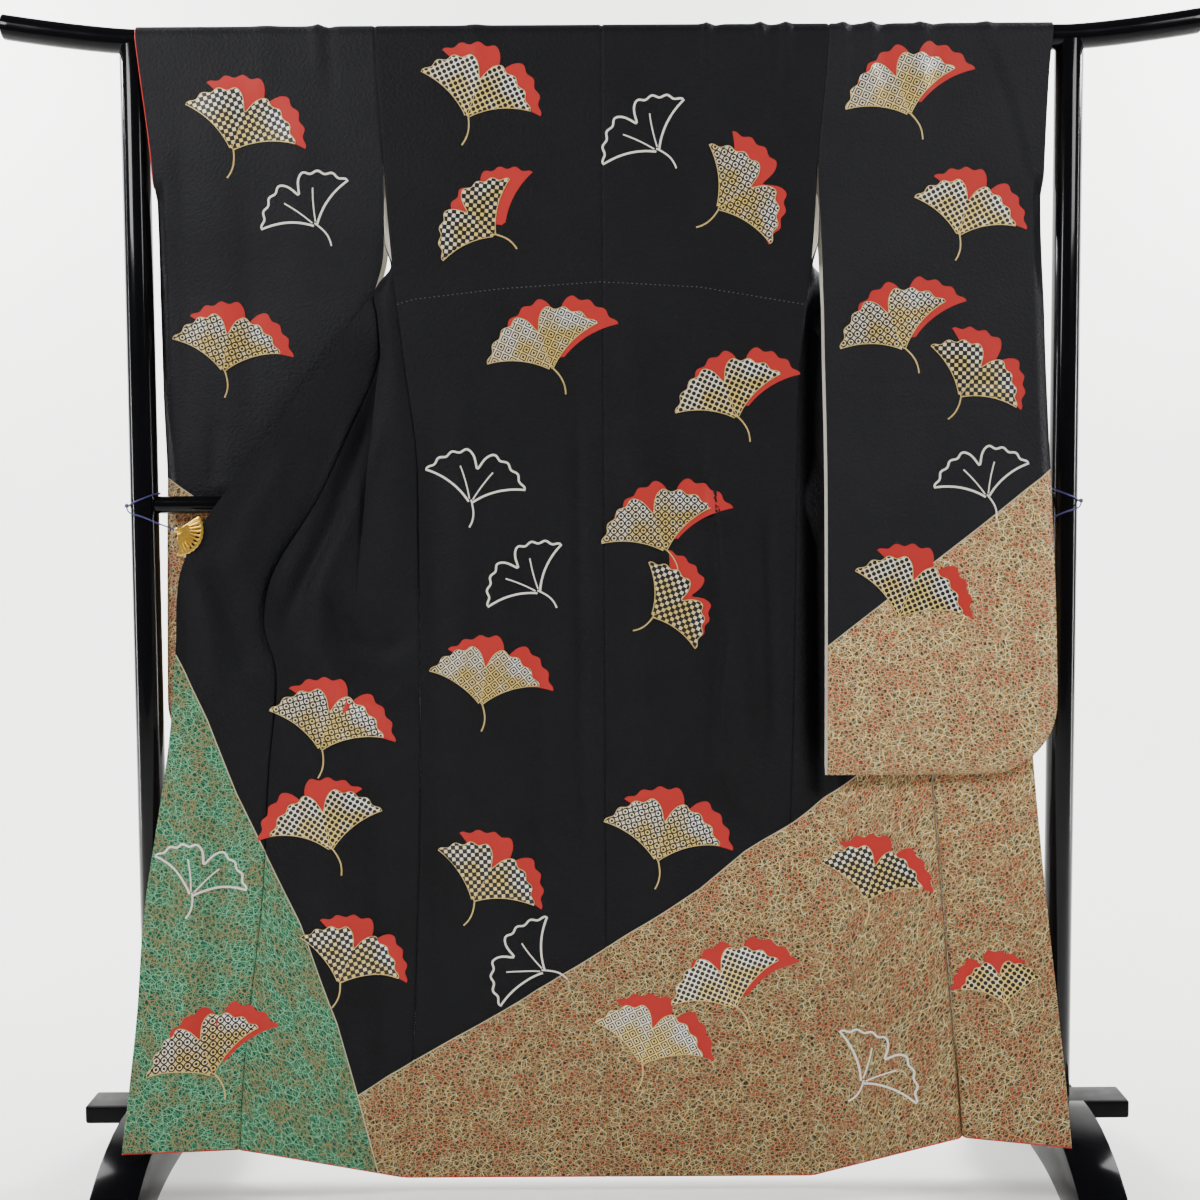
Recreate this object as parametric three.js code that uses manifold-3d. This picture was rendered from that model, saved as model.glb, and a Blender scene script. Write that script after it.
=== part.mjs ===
// A furisode, hung open over the top rail of a lacquered kimono stand.
// Millimetres, +Z up. The stand's rails run along X, and the back of the garment faces -Y.
// The origin lies on the floor, below the middle of the top rail.
import * as THREE from 'three';
import Module from 'manifold-3d';

const wasm = await Module();
wasm.setup();

// Driving sizes of the stand
const railHeight = 1653; // axis of the top rail
const railRadius = 17.5;
const railHalf = 844;
const railRise = 22; // the tips of the top rail curve up by this
const railJoint = 660; // its straight length meets the tips over the posts
const postX = 660;
const postRadius = 20;
const midRailHeight = 1001;
const midRailRadius = 12.5;
const baseTop = 128.5;
const baseThick = 26.5;
const baseDepth = 60;
const baseHalf = 760;
const footWidth = 66;
const fit = 0.3; // gap between pieces that meet

// Driving sizes of the garment
const clothThick = 1.6; // crepe and its lining, together
const clothRadius = 18.5; // lining side of the cloth where it bends over the rail
const shoulder = 1675; // height from which lengths of the cut are counted
const neckHalf = 72;
const seamTop = 1345; // the side seam starts here, below the armpit opening
const sleeveJoin = 1480; // the sleeve is sewn to the body down to here
const wristOpen = 1443; // the sleeve's outer edge is open above here
const sleeveBottom = 613;
const sleeveCorner = 102;
const collarWidth = 55;
const tipLength = 372; // the overlap panel starts this far down the cut
const clipLength = 838; // the collar ends this far down the cut

// Smooth curve through the rows of a table, read at a key in its first column
function follow(rows, column) {
  const keys = rows.map((row) => row[0]);
  const vals = rows.map((row) => row[column]);
  const last = keys.length - 1;
  const slope = keys.map((key, i) => {
    const a = Math.max(i - 1, 0);
    const b = Math.min(i + 1, last);
    return (vals[b] - vals[a]) / (keys[b] - keys[a]);
  });
  return (at) => {
    let i = keys.findIndex((key) => key > at) - 1;
    if (i < 0) i = at < keys[0] ? 0 : last - 1;
    const h = keys[i + 1] - keys[i];
    const t = THREE.MathUtils.clamp((at - keys[i]) / h, 0, 1);
    const rise = vals[i] * (1 + 2 * t) * (1 - t) ** 2 + vals[i + 1] * (3 - 2 * t) * t ** 2;
    return rise + h * t * (1 - t) * (slope[i] * (1 - t) - slope[i + 1] * t);
  };
}

const ease = (t) => THREE.MathUtils.smoothstep(t, 0, 1);
const mix = THREE.MathUtils.lerp;

// Lines of the back, by height: side seams, and depth at the middle and at the sides
const backRows = [
  // height, left side x, right side x, middle y, side y
  [28, -295, 297, -45, -45],
  [195, -280, 282, -41, -41],
  [390, -272, 268, -36, -35.5],
  [545, -267, 266, -32, -31.5],
  [698, -265, 271, -28, -27],
  [838, -265, 273, -25.5, -24.5],
  [962, -265.5, 275, -23.5, -22.5],
  [1077, -267, 276, -22, -21.5],
  [1190, -281, 279, -21, -20.5],
  [1345, -298, 295.5, -20, -20],
  [1480, -308, 304, -19.6, -19.6],
  [1600, -315.5, 315, -19.6, -19.6],
  [1653, -318, 319, -clothRadius, -clothRadius],
  [1672, -319, 320, -clothRadius, -clothRadius],
];
const sideX = { left: follow(backRows, 1), right: follow(backRows, 2) };
const middleY = follow(backRows, 3);
const nearY = follow(backRows, 4);

// Lines of the fronts, by length down the cut: overlap seam and front edge
const frontRows = {
  left: [
    // length, seam x, y, z, edge x, y, z
    [22, -72, clothRadius, 1645, -72, clothRadius, 1645],
    [110, -130, 19.6, 1566, -130, 19.6, 1566],
    [195, -193, 20, 1480, -193, 20, 1480],
    [272, -251, 19.5, 1402, -251, 19.5, 1402],
    [330, -293, 16, 1345, -293, 16, 1345],
    [375, -324, 0, 1303, -324, 0, 1303],
    [425, -320, -9, 1262, -348, -8, 1270],
    [500, -321, -10, 1200, -383, -16, 1222],
    [600, -356, -13, 1115, -432, -24, 1156],
    [715, -406, -19.5, 1008, -500, -37, 1063],
    [838, -471, -26, 905, -570, -46, 968],
    [925, -484, -30, 830, -602, -47, 893],
    [1010, -468, -33, 760, -608, -47, 800],
    [1130, -481, -38, 620, -621, -50, 655],
    [1280, -491, -48, 445, -655, -63, 438],
    [1450, -510, -68, 270, -661, -98, 285],
    [1560, -516, -90, 175, -663, -138, 190],
    [1647, -517, -110, 97, -664, -174, 117],
  ],
  right: [
    // length, seam x, y, z, edge x, y, z
    [22, 72, clothRadius, 1645, 72, clothRadius, 1645],
    [110, 131, 19.6, 1566, 131, 19.6, 1566],
    [195, 194, 20, 1480, 194, 20, 1480],
    [272, 253, 19.5, 1402, 253, 19.5, 1402],
    [335, 297, 15, 1340, 297, 15, 1340],
    [375, 326, 2, 1303, 326, 2, 1303],
    [425, 324, -10, 1262, 351, -7, 1270],
    [500, 338, -13, 1200, 387, -11, 1222],
    [600, 372, -16, 1115, 436, -16, 1156],
    [715, 415, -20, 1008, 505, -20, 1063],
    [838, 446, -23, 905, 576, -22, 968],
    [925, 455, -26, 820, 592, -27, 878],
    [1010, 463, -29, 735, 602, -32, 765],
    [1130, 470, -37, 600, 612, -42, 612],
    [1280, 483, -50, 430, 626, -62, 433],
    [1450, 494, -72, 262, 636, -100, 275],
    [1560, 498, -92, 178, 636, -140, 188],
    [1647, 500, -110, 109, 634.5, -174, 119],
  ],
};

// Lines of the sleeves, by height: inner and outer edge, and depth of the near and far layer
const sleeveRows = {
  left: [
    // height, inner x, outer x, near y, far y
    [612, -314, -639, 18, 27],
    [722, -314, -639, 18, 28],
    [975, -315, -634, 17.5, 30],
    [1040, -318, -632, 17, 30],
    [1150, -328, -634, 13, 28],
    [1230, -336, -634, 10, 26],
    [1270, -334, -634, 8.5, 25],
    [1300, -327, -634, 6.5, 24.5],
    [1345, -313, -633, -1, 24],
    [1400, -309, -632, -11, 23],
    [1480, -308, -633, -19.6, 19.6],
    [1540, -311, -639, -19.6, 19.6],
    [1600, -315.5, -646, -19.6, 19.6],
    [1653, -318, -652, -clothRadius, clothRadius],
    [1672, -319, -653, -clothRadius, clothRadius],
  ],
  right: [
    // height, inner x, outer x, near y, far y
    [612, 315, 641, -56, -46],
    [722, 315, 641, -55, -45],
    [860, 315, 638, -52, -41],
    [1012, 315, 632, -46, -33],
    [1100, 314, 628, -41, -28.5],
    [1200, 312, 624, -35, -23],
    [1270, 311, 622, -31, -20],
    [1300, 310, 621, -29, -16.5],
    [1345, 309, 620, -26, -7],
    [1400, 307, 620, -22, 7],
    [1480, 304, 622, -19.6, 19.6],
    [1600, 315, 627, -19.6, 19.6],
    [1653, 319, 632, -clothRadius, clothRadius],
    [1672, 320, 634, -clothRadius, clothRadius],
  ],
};

// The main folds, each a soft trough or ridge along a straight line seen from the front
const folds = {
  back: [
    // x and z at the top, x and z at the foot, half width, height towards the viewer
    [-246, 1180, -238, 240, 20, -6],
    [-205, 1250, -196, 120, 24, 4],
    [-34, 1180, -28, 520, 14, -3],
    [163, 860, 170, 590, 15, -9],
    [192, 900, 205, 560, 20, 6],
    [232, 1000, 236, 380, 18, -5],
    [90, 700, 78, 90, 30, 4],
    [-110, 620, -128, 90, 32, 4],
  ],
  left: [
    [-303, 1300, -297, 930, 15, 7],
    [-352, 1075, -452, 830, 13, -6],
    [-571, 930, -500, 752, 16, -7],
    [-540, 950, -420, 760, 26, 7],
    [-350, 900, -390, 700, 26, 6],
    [-380, 620, -400, 140, 34, 5],
    [-575, 700, -600, 260, 26, 6],
  ],
  right: [
    [370, 620, 382, 150, 30, 6],
    [300, 560, 318, 120, 18, -5],
    [560, 620, 585, 240, 24, 5],
    [420, 900, 430, 420, 20, -4],
  ],
  leftSleeve: [
    [-540, 1640, -556, 1090, 34, 3],
    [-530, 940, -545, 700, 34, 3],
    [-420, 1600, -440, 1240, 30, 3],
  ],
  rightSleeve: [
    [530, 1668, 618, 1400, 15, 5],
    [400, 1600, 395, 720, 32, 3],
    [520, 1300, 540, 700, 34, 3],
  ],
};

// How far the folds in a list raise the cloth at x, z
function raised(list, x, z) {
  let sum = 0;
  for (const [x0, z0, x1, z1, width, height] of list) {
    const dx = x1 - x0;
    const dz = z1 - z0;
    const along = ((x - x0) * dx + (z - z0) * dz) / (dx * dx + dz * dz);
    if (along < 0 || along > 1) continue;
    const away = Math.abs((x - x0) * dz - (z - z0) * dx) / Math.hypot(dx, dz);
    const fade = ease(Math.min(along, 1 - along) / 0.25);
    sum += height * fade * Math.exp(-((away / width) ** 2));
  }
  return sum;
}

// A closed mesh from points and triangles, turned so that its faces point out
function closed(points, faces) {
  let volume = 0;
  for (const [a, b, c] of faces) {
    volume += points[a].dot(new THREE.Vector3().crossVectors(points[b], points[c]));
  }
  const turned = volume < 0 ? faces.map(([a, b, c]) => [a, c, b]) : faces;
  const geometry = new THREE.BufferGeometry().setFromPoints(points);
  geometry.setIndex(turned.flat());
  geometry.computeVertexNormals();
  return geometry;
}

// Directions that point out of the cloth, for a grid of points on its lining side
function outward(grid, sign) {
  return grid.map((row, i) => row.map((point, j) => {
    const up = grid[Math.max(i - 1, 0)][j];
    const down = grid[Math.min(i + 1, grid.length - 1)][j];
    const before = row[Math.max(j - 1, 0)];
    const after = row[Math.min(j + 1, row.length - 1)];
    const along = new THREE.Vector3().subVectors(down, up);
    const across = new THREE.Vector3().subVectors(after, before);
    return along.cross(across).multiplyScalar(sign).normalize();
  }));
}

// A wall of cloth: the grid is its lining side, and the wall is built out from it
function wall(grid, normals, thick) {
  const rows = grid.length;
  const cols = grid[0].length;
  const inside = grid.map((row) => row.map((point) => point.clone()));
  for (const row of inside) {
    const first = row[0].clone().sub(row[1]).setLength(fit / 2);
    const end = row[cols - 1].clone().sub(row[cols - 2]).setLength(fit / 2);
    row[0].sub(first);
    row[cols - 1].sub(end);
  }
  const points = inside.flat();
  inside.forEach((row, i) => row.forEach((point, j) => {
    points.push(point.clone().addScaledVector(normals[i][j], thick));
  }));
  const at = (i, j, side) => side * rows * cols + i * cols + j;
  const faces = [];
  const quad = (a, b, c, d) => faces.push([a, b, c], [a, c, d]);
  for (let i = 0; i < rows - 1; i += 1) {
    for (let j = 0; j < cols - 1; j += 1) {
      quad(at(i, j, 0), at(i + 1, j, 0), at(i + 1, j + 1, 0), at(i, j + 1, 0));
      quad(at(i, j, 1), at(i, j + 1, 1), at(i + 1, j + 1, 1), at(i + 1, j, 1));
    }
    quad(at(i, 0, 0), at(i, 0, 1), at(i + 1, 0, 1), at(i + 1, 0, 0));
    quad(at(i, cols - 1, 0), at(i + 1, cols - 1, 0), at(i + 1, cols - 1, 1), at(i, cols - 1, 1));
  }
  for (let j = 0; j < cols - 1; j += 1) {
    quad(at(0, j, 0), at(0, j + 1, 0), at(0, j + 1, 1), at(0, j, 1));
    quad(at(rows - 1, j, 0), at(rows - 1, j, 1), at(rows - 1, j + 1, 1), at(rows - 1, j + 1, 0));
  }
  return closed(points, faces);
}

// Materials
const cloth = (color) => new THREE.MeshStandardMaterial({ color, roughness: 0.8, metalness: 0 });
const black = cloth('#222126');
const brown = cloth('#5a4b37');
const lacquer = new THREE.MeshStandardMaterial({ color: '#0b0b0d', roughness: 0.12, metalness: 0 });
const gold = new THREE.MeshStandardMaterial({ color: '#c9a544', roughness: 0.3, metalness: 1 });
const violet = cloth('#3d2f8f');

const part = new THREE.Group();
part.name = 'furisode_on_kimono_stand';
function add(name, geometry, material) {
  const mesh = new THREE.Mesh(geometry, material.clone());
  mesh.name = name;
  part.add(mesh);
  return mesh;
}

// Body panels: one length of cloth each, from the back hem over the rail to the front hem
const heights = [28, 75, 130, 195, 270, 350, 430, 510, 590, 670, 750, 838, 930, 1020, 1100, 1170, 1230,
  1280, 1320, 1345, 1400, 1480, 1540, 1600];
const bend = [180, 150, 120, 90, 60, 30, 0]; // degrees round the rail, from the near side
const neckStart = 60; // the neck is cut from here to the far side
const bodyCols = 10;
const overlapCols = 4;

function backRow(side, height) {
  const row = [];
  for (let j = 0; j <= bodyCols; j += 1) {
    const t = j / bodyCols;
    const x = mix(0, sideX[side](height), t);
    const y = mix(middleY(height), nearY(height), t * t) - raised(folds.back, x, height);
    row.push(new THREE.Vector3(x, Math.min(y, 4 - clothRadius * 1.2), height));
  }
  return row;
}

function ridgeRow(side, degrees) {
  const angle = THREE.MathUtils.degToRad(degrees);
  const y = clothRadius * Math.cos(angle);
  const z = railHeight + clothRadius * Math.sin(angle);
  const cut = neckHalf * Math.max(0, 1 - degrees / neckStart) * (side === 'left' ? -1 : 1);
  const row = [];
  for (let j = 0; j <= bodyCols; j += 1) {
    row.push(new THREE.Vector3(mix(cut, sideX[side](z), j / bodyCols), y, z));
  }
  return row;
}

// Where the front's side edge lies: far side at the shoulder, near side below the armpit
function sideEdge(side, height) {
  const swing = ease((height - seamTop) / (sleeveJoin - seamTop));
  const y = mix(nearY(height), height > 1600 ? clothRadius + 0.6 : 19.6, swing);
  return new THREE.Vector3(sideX[side](height), y, height);
}

const frontLine = {};
for (const side of ['left', 'right']) {
  const read = [1, 2, 3, 4, 5, 6].map((column) => follow(frontRows[side], column));
  frontLine[side] = {
    seam: (length) => new THREE.Vector3(read[0](length), read[1](length), read[2](length)),
    edge: (length) => new THREE.Vector3(read[3](length), read[4](length), read[5](length)),
  };
}

// One row of a front, from the front edge across the overlap seam to the side edge
function frontRow(side, length) {
  const seam = frontLine[side].seam(length);
  const edge = frontLine[side].edge(length);
  const outer = sideEdge(side, shoulder - length);
  const open = ease((length - 350) / 80);
  const row = [];
  for (let j = 0; j < overlapCols; j += 1) {
    row.push(new THREE.Vector3().lerpVectors(edge, seam, j / overlapCols));
  }
  for (let j = 0; j <= bodyCols; j += 1) {
    row.push(new THREE.Vector3().lerpVectors(seam, outer, j / bodyCols));
  }
  row.forEach((point, j) => {
    if (j < row.length - 1) point.y -= open * raised(folds[side], point.x, point.z);
  });
  return row;
}

for (const side of ['left', 'right']) {
  const sign = side === 'left' ? -1 : 1;
  const lengths = heights.map((height) => shoulder - height).reverse();
  const back = heights.map((height) => backRow(side, height));
  const ridge = bend.map((degrees) => ridgeRow(side, degrees));
  const wide = lengths.map((length) => frontRow(side, length));
  const front = wide.map((row) => row.slice(overlapCols));
  const grid = [...back, ...ridge, ...front];
  const normals = outward(grid, -sign);
  const wideNormals = outward(wide, -sign);

  // Edges that meet at a seam share one direction, so the walls end on the same plane
  const startFront = back.length + ridge.length;
  lengths.forEach((length, i) => {
    if (length > tipLength) normals[startFront + i][0] = wideNormals[i][overlapCols];
    const height = shoulder - length;
    if (height > seamTop) return;
    const k = heights.indexOf(height);
    const shared = normals[k][bodyCols].clone().add(normals[startFront + i][bodyCols]).normalize();
    normals[k][bodyCols] = shared;
    normals[startFront + i][bodyCols] = shared;
  });
  add(`body_${side}`, wall(grid, normals, clothThick), black);

  // Overlap panel, sewn between the body's front and the front edge, from a narrow tip
  const from = lengths.findIndex((length) => length > tipLength);
  const overlap = wide.slice(from).map((row) => row.slice(0, overlapCols + 1));
  const overlapNormals = wideNormals.slice(from).map((row, i) => {
    const kept = row.slice(0, overlapCols + 1);
    kept[overlapCols] = normals[startFront + from + i][0];
    return kept;
  });
  add(`overlap_${side}`, wall(overlap, overlapNormals, clothThick), side === 'left' ? black : brown);
}

// Collar: a band from clip to clip, folded back behind each front edge, in two lengths that
// meet at the middle of the back
const across = [0, 0.12, 0.24, 0.36, 0.5, 0.75, 1];
function collarRow(side, length) {
  const sign = side === 'left' ? -1 : 1;
  const edge = frontLine[side].edge(length);
  const seam = frontLine[side].seam(length);
  const slant = (seam.y - edge.y) / Math.max(seam.distanceTo(edge), collarWidth);
  const lift = length > 330 ? slant * collarWidth + 3 : 1;
  return across.map((q) => new THREE.Vector3(
    edge.x - sign * (fit + 0.805 * collarWidth * q),
    edge.y + (length > 330 ? 1.3 : 0.5) + lift * q,
    edge.z - 0.593 * collarWidth * q,
  ));
}

// Across the neck the collar lies over the rail and hangs down behind it
function neckRow(share) {
  const start = THREE.MathUtils.degToRad(neckStart * (1 - Math.abs(share)) - 3);
  const arc = Math.max(0, start) * clothRadius;
  return across.map((q) => {
    const down = q * collarWidth;
    const angle = Math.max(0, start - down / clothRadius);
    const x = share * mix(neckHalf, 46, q);
    const y = clothRadius * Math.cos(angle) + 0.4 * q;
    return new THREE.Vector3(x, y, railHeight + clothRadius * Math.sin(angle) - Math.max(0, down - arc));
  });
}

const collarLengths = [832, 715, 600, 500, 425, 375, 330, 272, 195, 110, 62];
const collarGrid = [
  ...collarLengths.map((length) => collarRow('left', length)),
  ...[-0.97, -0.75, -0.5, -0.25, -0.003, 0.003, 0.25, 0.5, 0.75, 0.97].map(neckRow),
  ...[...collarLengths].reverse().map((length) => collarRow('right', length)),
];
const collarNormals = outward(collarGrid, 1);
const collarHalf = collarGrid.length / 2;
add('collar_left', wall(collarGrid.slice(0, collarHalf), collarNormals.slice(0, collarHalf), 2), black);
add('collar_right', wall(collarGrid.slice(collarHalf), collarNormals.slice(collarHalf), 2), black);

// Sleeves: one length each, from the near bottom edge over the rail to the far bottom edge
const sleeveHeights = [sleeveBottom, 617, 626, 645, 675, 720, 800, 900, 1000, 1090, 1170, 1240, 1290, 1335,
  1380, 1425, 1460, 1480, 1540, 1600];
const sleeveCols = [0, 0.14, 0.3, 0.46, 0.62, 0.78, 0.9, 0.965, 0.99, 1];

function sleevePoint(side, height, share, far) {
  const [free, outer, near, deep] = [1, 2, 3, 4].map((column) => follow(sleeveRows[side], column)(height));
  const inner = height < sleeveJoin ? free : sideX[side](height);
  const sign = side === 'left' ? -1 : 1;
  const low = Math.max(0, sleeveBottom + sleeveCorner - height);
  const round = sleeveCorner - Math.sqrt(Math.max(0, sleeveCorner ** 2 - low ** 2));
  const x = mix(inner, outer - sign * round, share);
  const toEdge = Math.min(height - sleeveBottom, Math.abs(outer - sign * round - x));
  const apart = Math.max(ease(toEdge / 16), ease((height - wristOpen + 18) / 36));
  const middle = (near + deep) / 2;
  const half = 0.25 + (deep - near) / 2 * apart;
  const lift = raised(folds[`${side}Sleeve`], x, height) * ease((height - sleeveBottom) / 60)
    * ease(Math.abs(outer - x) / 40) * ease(Math.abs(inner - x) / 40);
  return new THREE.Vector3(x, far ? middle + half : middle - half - lift, height);
}

for (const side of ['left', 'right']) {
  const sign = side === 'left' ? -1 : 1;
  const near = sleeveHeights.map((height) => sleeveCols.map((t) => sleevePoint(side, height, t, false)));
  const far = sleeveHeights.map((height) => sleeveCols.map((t) => sleevePoint(side, height, t, true)));
  const top = bend.map((degrees) => {
    const angle = THREE.MathUtils.degToRad(degrees);
    const z = railHeight + clothRadius * Math.sin(angle);
    return sleeveCols.map((t) => {
      const point = sleevePoint(side, z, t, false);
      return new THREE.Vector3(point.x, clothRadius * Math.cos(angle), z);
    });
  });
  const grid = [...near, ...top, ...far.reverse()];
  add(`sleeve_${side}`, wall(grid, outward(grid, -sign), clothThick), side === 'left' ? black : brown);
}

// Solids for the cuts in the stand
function solid(geometry) {
  const flat = geometry.index ? geometry.toNonIndexed() : geometry;
  const position = flat.attributes.position;
  const seen = new Map();
  const vertices = [];
  const triangles = [];
  for (let i = 0; i < position.count; i += 1) {
    const point = [position.getX(i), position.getY(i), position.getZ(i)].map((v) => Math.round(v * 1e4) / 1e4);
    const key = point.join(' ');
    if (!seen.has(key)) {
      seen.set(key, vertices.length / 3);
      vertices.push(...point);
    }
    triangles.push(seen.get(key));
  }
  const kept = [];
  for (let i = 0; i < triangles.length; i += 3) {
    const [a, b, c] = triangles.slice(i, i + 3);
    if (a !== b && b !== c && a !== c) kept.push(a, b, c);
  }
  const mesh = new wasm.Mesh({
    numProp: 3,
    vertProperties: new Float32Array(vertices),
    triVerts: new Uint32Array(kept),
  });
  return new wasm.Manifold(mesh);
}

function shown(manifold) {
  const mesh = manifold.getMesh();
  const geometry = new THREE.BufferGeometry();
  geometry.setAttribute('position', new THREE.BufferAttribute(new Float32Array(mesh.vertProperties), 3));
  geometry.setIndex([...mesh.triVerts]);
  geometry.computeVertexNormals();
  return geometry;
}

function rod(radius, length, sides) {
  return new THREE.CylinderGeometry(radius, radius, length, sides);
}

function swept(radius, sides, points, steps) {
  const circle = new THREE.Shape();
  for (let i = 0; i < sides; i += 1) {
    const angle = (i + 0.5) / sides * 2 * Math.PI;
    const at = [radius * Math.cos(angle), radius * Math.sin(angle)];
    if (i) circle.lineTo(...at);
    else circle.moveTo(...at);
  }
  const path = new THREE.CatmullRomCurve3(points.map((point) => new THREE.Vector3(...point)), false, 'centripetal');
  return new THREE.ExtrudeGeometry(circle, { steps, bevelEnabled: false, extrudePath: path });
}

// Top rail: a straight length between the posts, and two tips that curve up
const railPoints = [];
const railKnots = [0, 320, 600, 630, 655, 672, 700, 735, 775, 812, railHalf];
for (const x of [...railKnots.slice(1).map((v) => -v).reverse(), ...railKnots]) {
  const out = Math.max(0, (Math.abs(x) - 655) / (railHalf - 655));
  railPoints.push([x, 0, railHeight + railRise * out ** 1.35]);
}
const rail = solid(swept(railRadius, 16, railPoints, 28));
const [innerEnd, outerEnd] = [railJoint - fit / 2, railJoint + fit / 2];
const straight = rail.trimByPlane([1, 0, 0], -innerEnd).trimByPlane([-1, 0, 0], -innerEnd);
add('top_rail', shown(straight), lacquer);
add('rail_tip_left', shown(rail.trimByPlane([-1, 0, 0], outerEnd)), lacquer);
add('rail_tip_right', shown(rail.trimByPlane([1, 0, 0], outerEnd)), lacquer);

// Posts, hollowed at the top to seat the rail
const seat = solid(rod(railRadius + fit, 200, 24).rotateZ(Math.PI / 2).translate(0, 0, railHeight));
const postBottom = baseTop + fit;
const postTop = railHeight - 6;
for (const [name, x] of [['post_left', -postX], ['post_right', postX]]) {
  const post = rod(postRadius, postTop - postBottom, 24).rotateX(Math.PI / 2);
  post.translate(0, 0, (postTop + postBottom) / 2);
  add(name, shown(solid(post).subtract(seat).translate([x, 0, 0])), lacquer);
}

// Middle rail, hollowed at its ends to fit the posts
const tenon = solid(rod(postRadius + fit, 80, 24).rotateX(Math.PI / 2).translate(0, 0, midRailHeight));
const midRail = solid(rod(midRailRadius, 2 * postX, 16).rotateZ(Math.PI / 2).translate(0, 0, midRailHeight));
const midCut = midRail.subtract(tenon.translate([-postX, 0, 0])).subtract(tenon.translate([postX, 0, 0]));
add('middle_rail', shown(midCut), lacquer);

// Base rail, a flat board with rounded edges that joins the feet
const board = new THREE.Shape();
const halfDepth = baseDepth / 2;
const halfThick = baseThick / 2;
const edge = 4;
board.moveTo(-halfThick + edge, -halfDepth);
board.lineTo(halfThick - edge, -halfDepth);
board.quadraticCurveTo(halfThick, -halfDepth, halfThick, -halfDepth + edge);
board.lineTo(halfThick, halfDepth - edge);
board.quadraticCurveTo(halfThick, halfDepth, halfThick - edge, halfDepth);
board.lineTo(-halfThick + edge, halfDepth);
board.quadraticCurveTo(-halfThick, halfDepth, -halfThick, halfDepth - edge);
board.lineTo(-halfThick, -halfDepth + edge);
board.quadraticCurveTo(-halfThick, -halfDepth, -halfThick + edge, -halfDepth);
const baseRail = new THREE.ExtrudeGeometry(board, { depth: 2 * baseHalf, bevelEnabled: false, curveSegments: 4 });
baseRail.translate(0, 0, -baseHalf).rotateY(Math.PI / 2).translate(0, 0, baseTop - halfThick);
add('base_rail', shown(solid(baseRail)), lacquer);

// Feet: arched boards, notched at the top for the base rail
const footHalf = 290;
const arch = new THREE.Shape();
const notch = halfDepth + fit;
const notchFloor = baseTop - baseThick - fit;
arch.moveTo(notch, notchFloor);
arch.lineTo(notch, 130);
arch.lineTo(60, 130);
arch.bezierCurveTo(130, 128, 205, 100, 245, 66);
arch.quadraticCurveTo(272, 42, footHalf, 22);
arch.lineTo(footHalf, 0);
arch.lineTo(214, 0);
arch.quadraticCurveTo(180, 22, 130, 36);
arch.quadraticCurveTo(66, 45, 0, 45);
arch.quadraticCurveTo(-66, 45, -130, 36);
arch.quadraticCurveTo(-180, 22, -214, 0);
arch.lineTo(-footHalf, 0);
arch.lineTo(-footHalf, 22);
arch.quadraticCurveTo(-272, 42, -245, 66);
arch.bezierCurveTo(-205, 100, -130, 128, -60, 130);
arch.lineTo(-notch, 130);
arch.lineTo(-notch, notchFloor);
arch.lineTo(notch, notchFloor);
const foot = new THREE.ExtrudeGeometry(arch, { depth: footWidth, bevelEnabled: false, curveSegments: 8 });
foot.rotateX(Math.PI / 2).rotateZ(Math.PI / 2).translate(-footWidth / 2, 0, 0);
for (const [name, x] of [['foot_left', -postX], ['foot_right', postX]]) {
  add(name, shown(solid(foot).translate([x, 0, 0])), lacquer);
}

// Cloth clips: a fan-shaped leaf in front of the cloth, a plain leaf behind it, and a pivot
function clip(x, front, behind, z, sign) {
  const leaf = (radius) => {
    const fan = new THREE.Shape();
    const start = THREE.MathUtils.degToRad(-92);
    const sweep = THREE.MathUtils.degToRad(125);
    fan.moveTo(-4, 0);
    for (let i = 0; i <= 12; i += 1) {
      const angle = start + sweep * i / 12;
      fan.lineTo(radius * Math.cos(angle), radius * Math.sin(angle));
    }
    fan.lineTo(-2, 4);
    return solid(new THREE.ExtrudeGeometry(fan, { depth: 2, bevelEnabled: false }).rotateX(Math.PI / 2));
  };
  const pivot = solid(rod(3, behind - front + 2, 12).translate(0, (front + behind) / 2, 0));
  const leaves = leaf(37).translate([0, front, 0]).add(leaf(30).translate([0, behind + 2, 0]));
  const whole = leaves.add(pivot);
  const placed = sign < 0 ? whole : whole.mirror([1, 0, 0]);
  return placed.translate([x, 0, z]);
}
add('clip_left', shown(clip(-601, -48.6, -40.5, 966, -1)), gold);
add('clip_right', shown(clip(606, -25.2, -17.2, 966, 1)), gold);

// Ties: a loop round each post above the middle rail, a knot outside it, and a taut cord to the clip
const cordRadius = 1.1;
for (const [side, sign, pivotX, pivotY] of [['left', -1, -604.6, -44.5], ['right', 1, 609.6, -21.2]]) {
  const loop = [];
  for (let i = 0; i <= 20; i += 1) {
    const angle = THREE.MathUtils.degToRad(14 + 332 * i / 20);
    const reach = postRadius + fit + cordRadius + 0.3;
    const x = sign * (postX + reach * Math.cos(angle));
    loop.push([x, reach * Math.sin(angle), midRailHeight + 8 - 9 * Math.cos(angle)]);
  }
  add(`loop_${side}`, shown(solid(swept(cordRadius, 8, loop, 24))), violet);
  const knotAt = new THREE.Vector3(sign * (postX + 25.2), -2, midRailHeight - 1);
  const knot = new THREE.SphereGeometry(3.4, 12, 8).translate(knotAt.x, knotAt.y, knotAt.z);
  add(`knot_${side}`, shown(solid(knot)), violet);
  const taut = [
    [pivotX, pivotY, 966],
    [mix(pivotX, sign * postX, 0.5), mix(pivotY, -24.4, 0.5), 975],
    [sign * (postX - 4), -24.4, 984],
    [sign * (postX + 16), -19.5, 990],
    [sign * (postX + 24.6), -5.4, 997.2],
  ];
  add(`tie_${side}`, shown(solid(swept(cordRadius, 8, taut, 15))), violet);
}

export default part;
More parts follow.
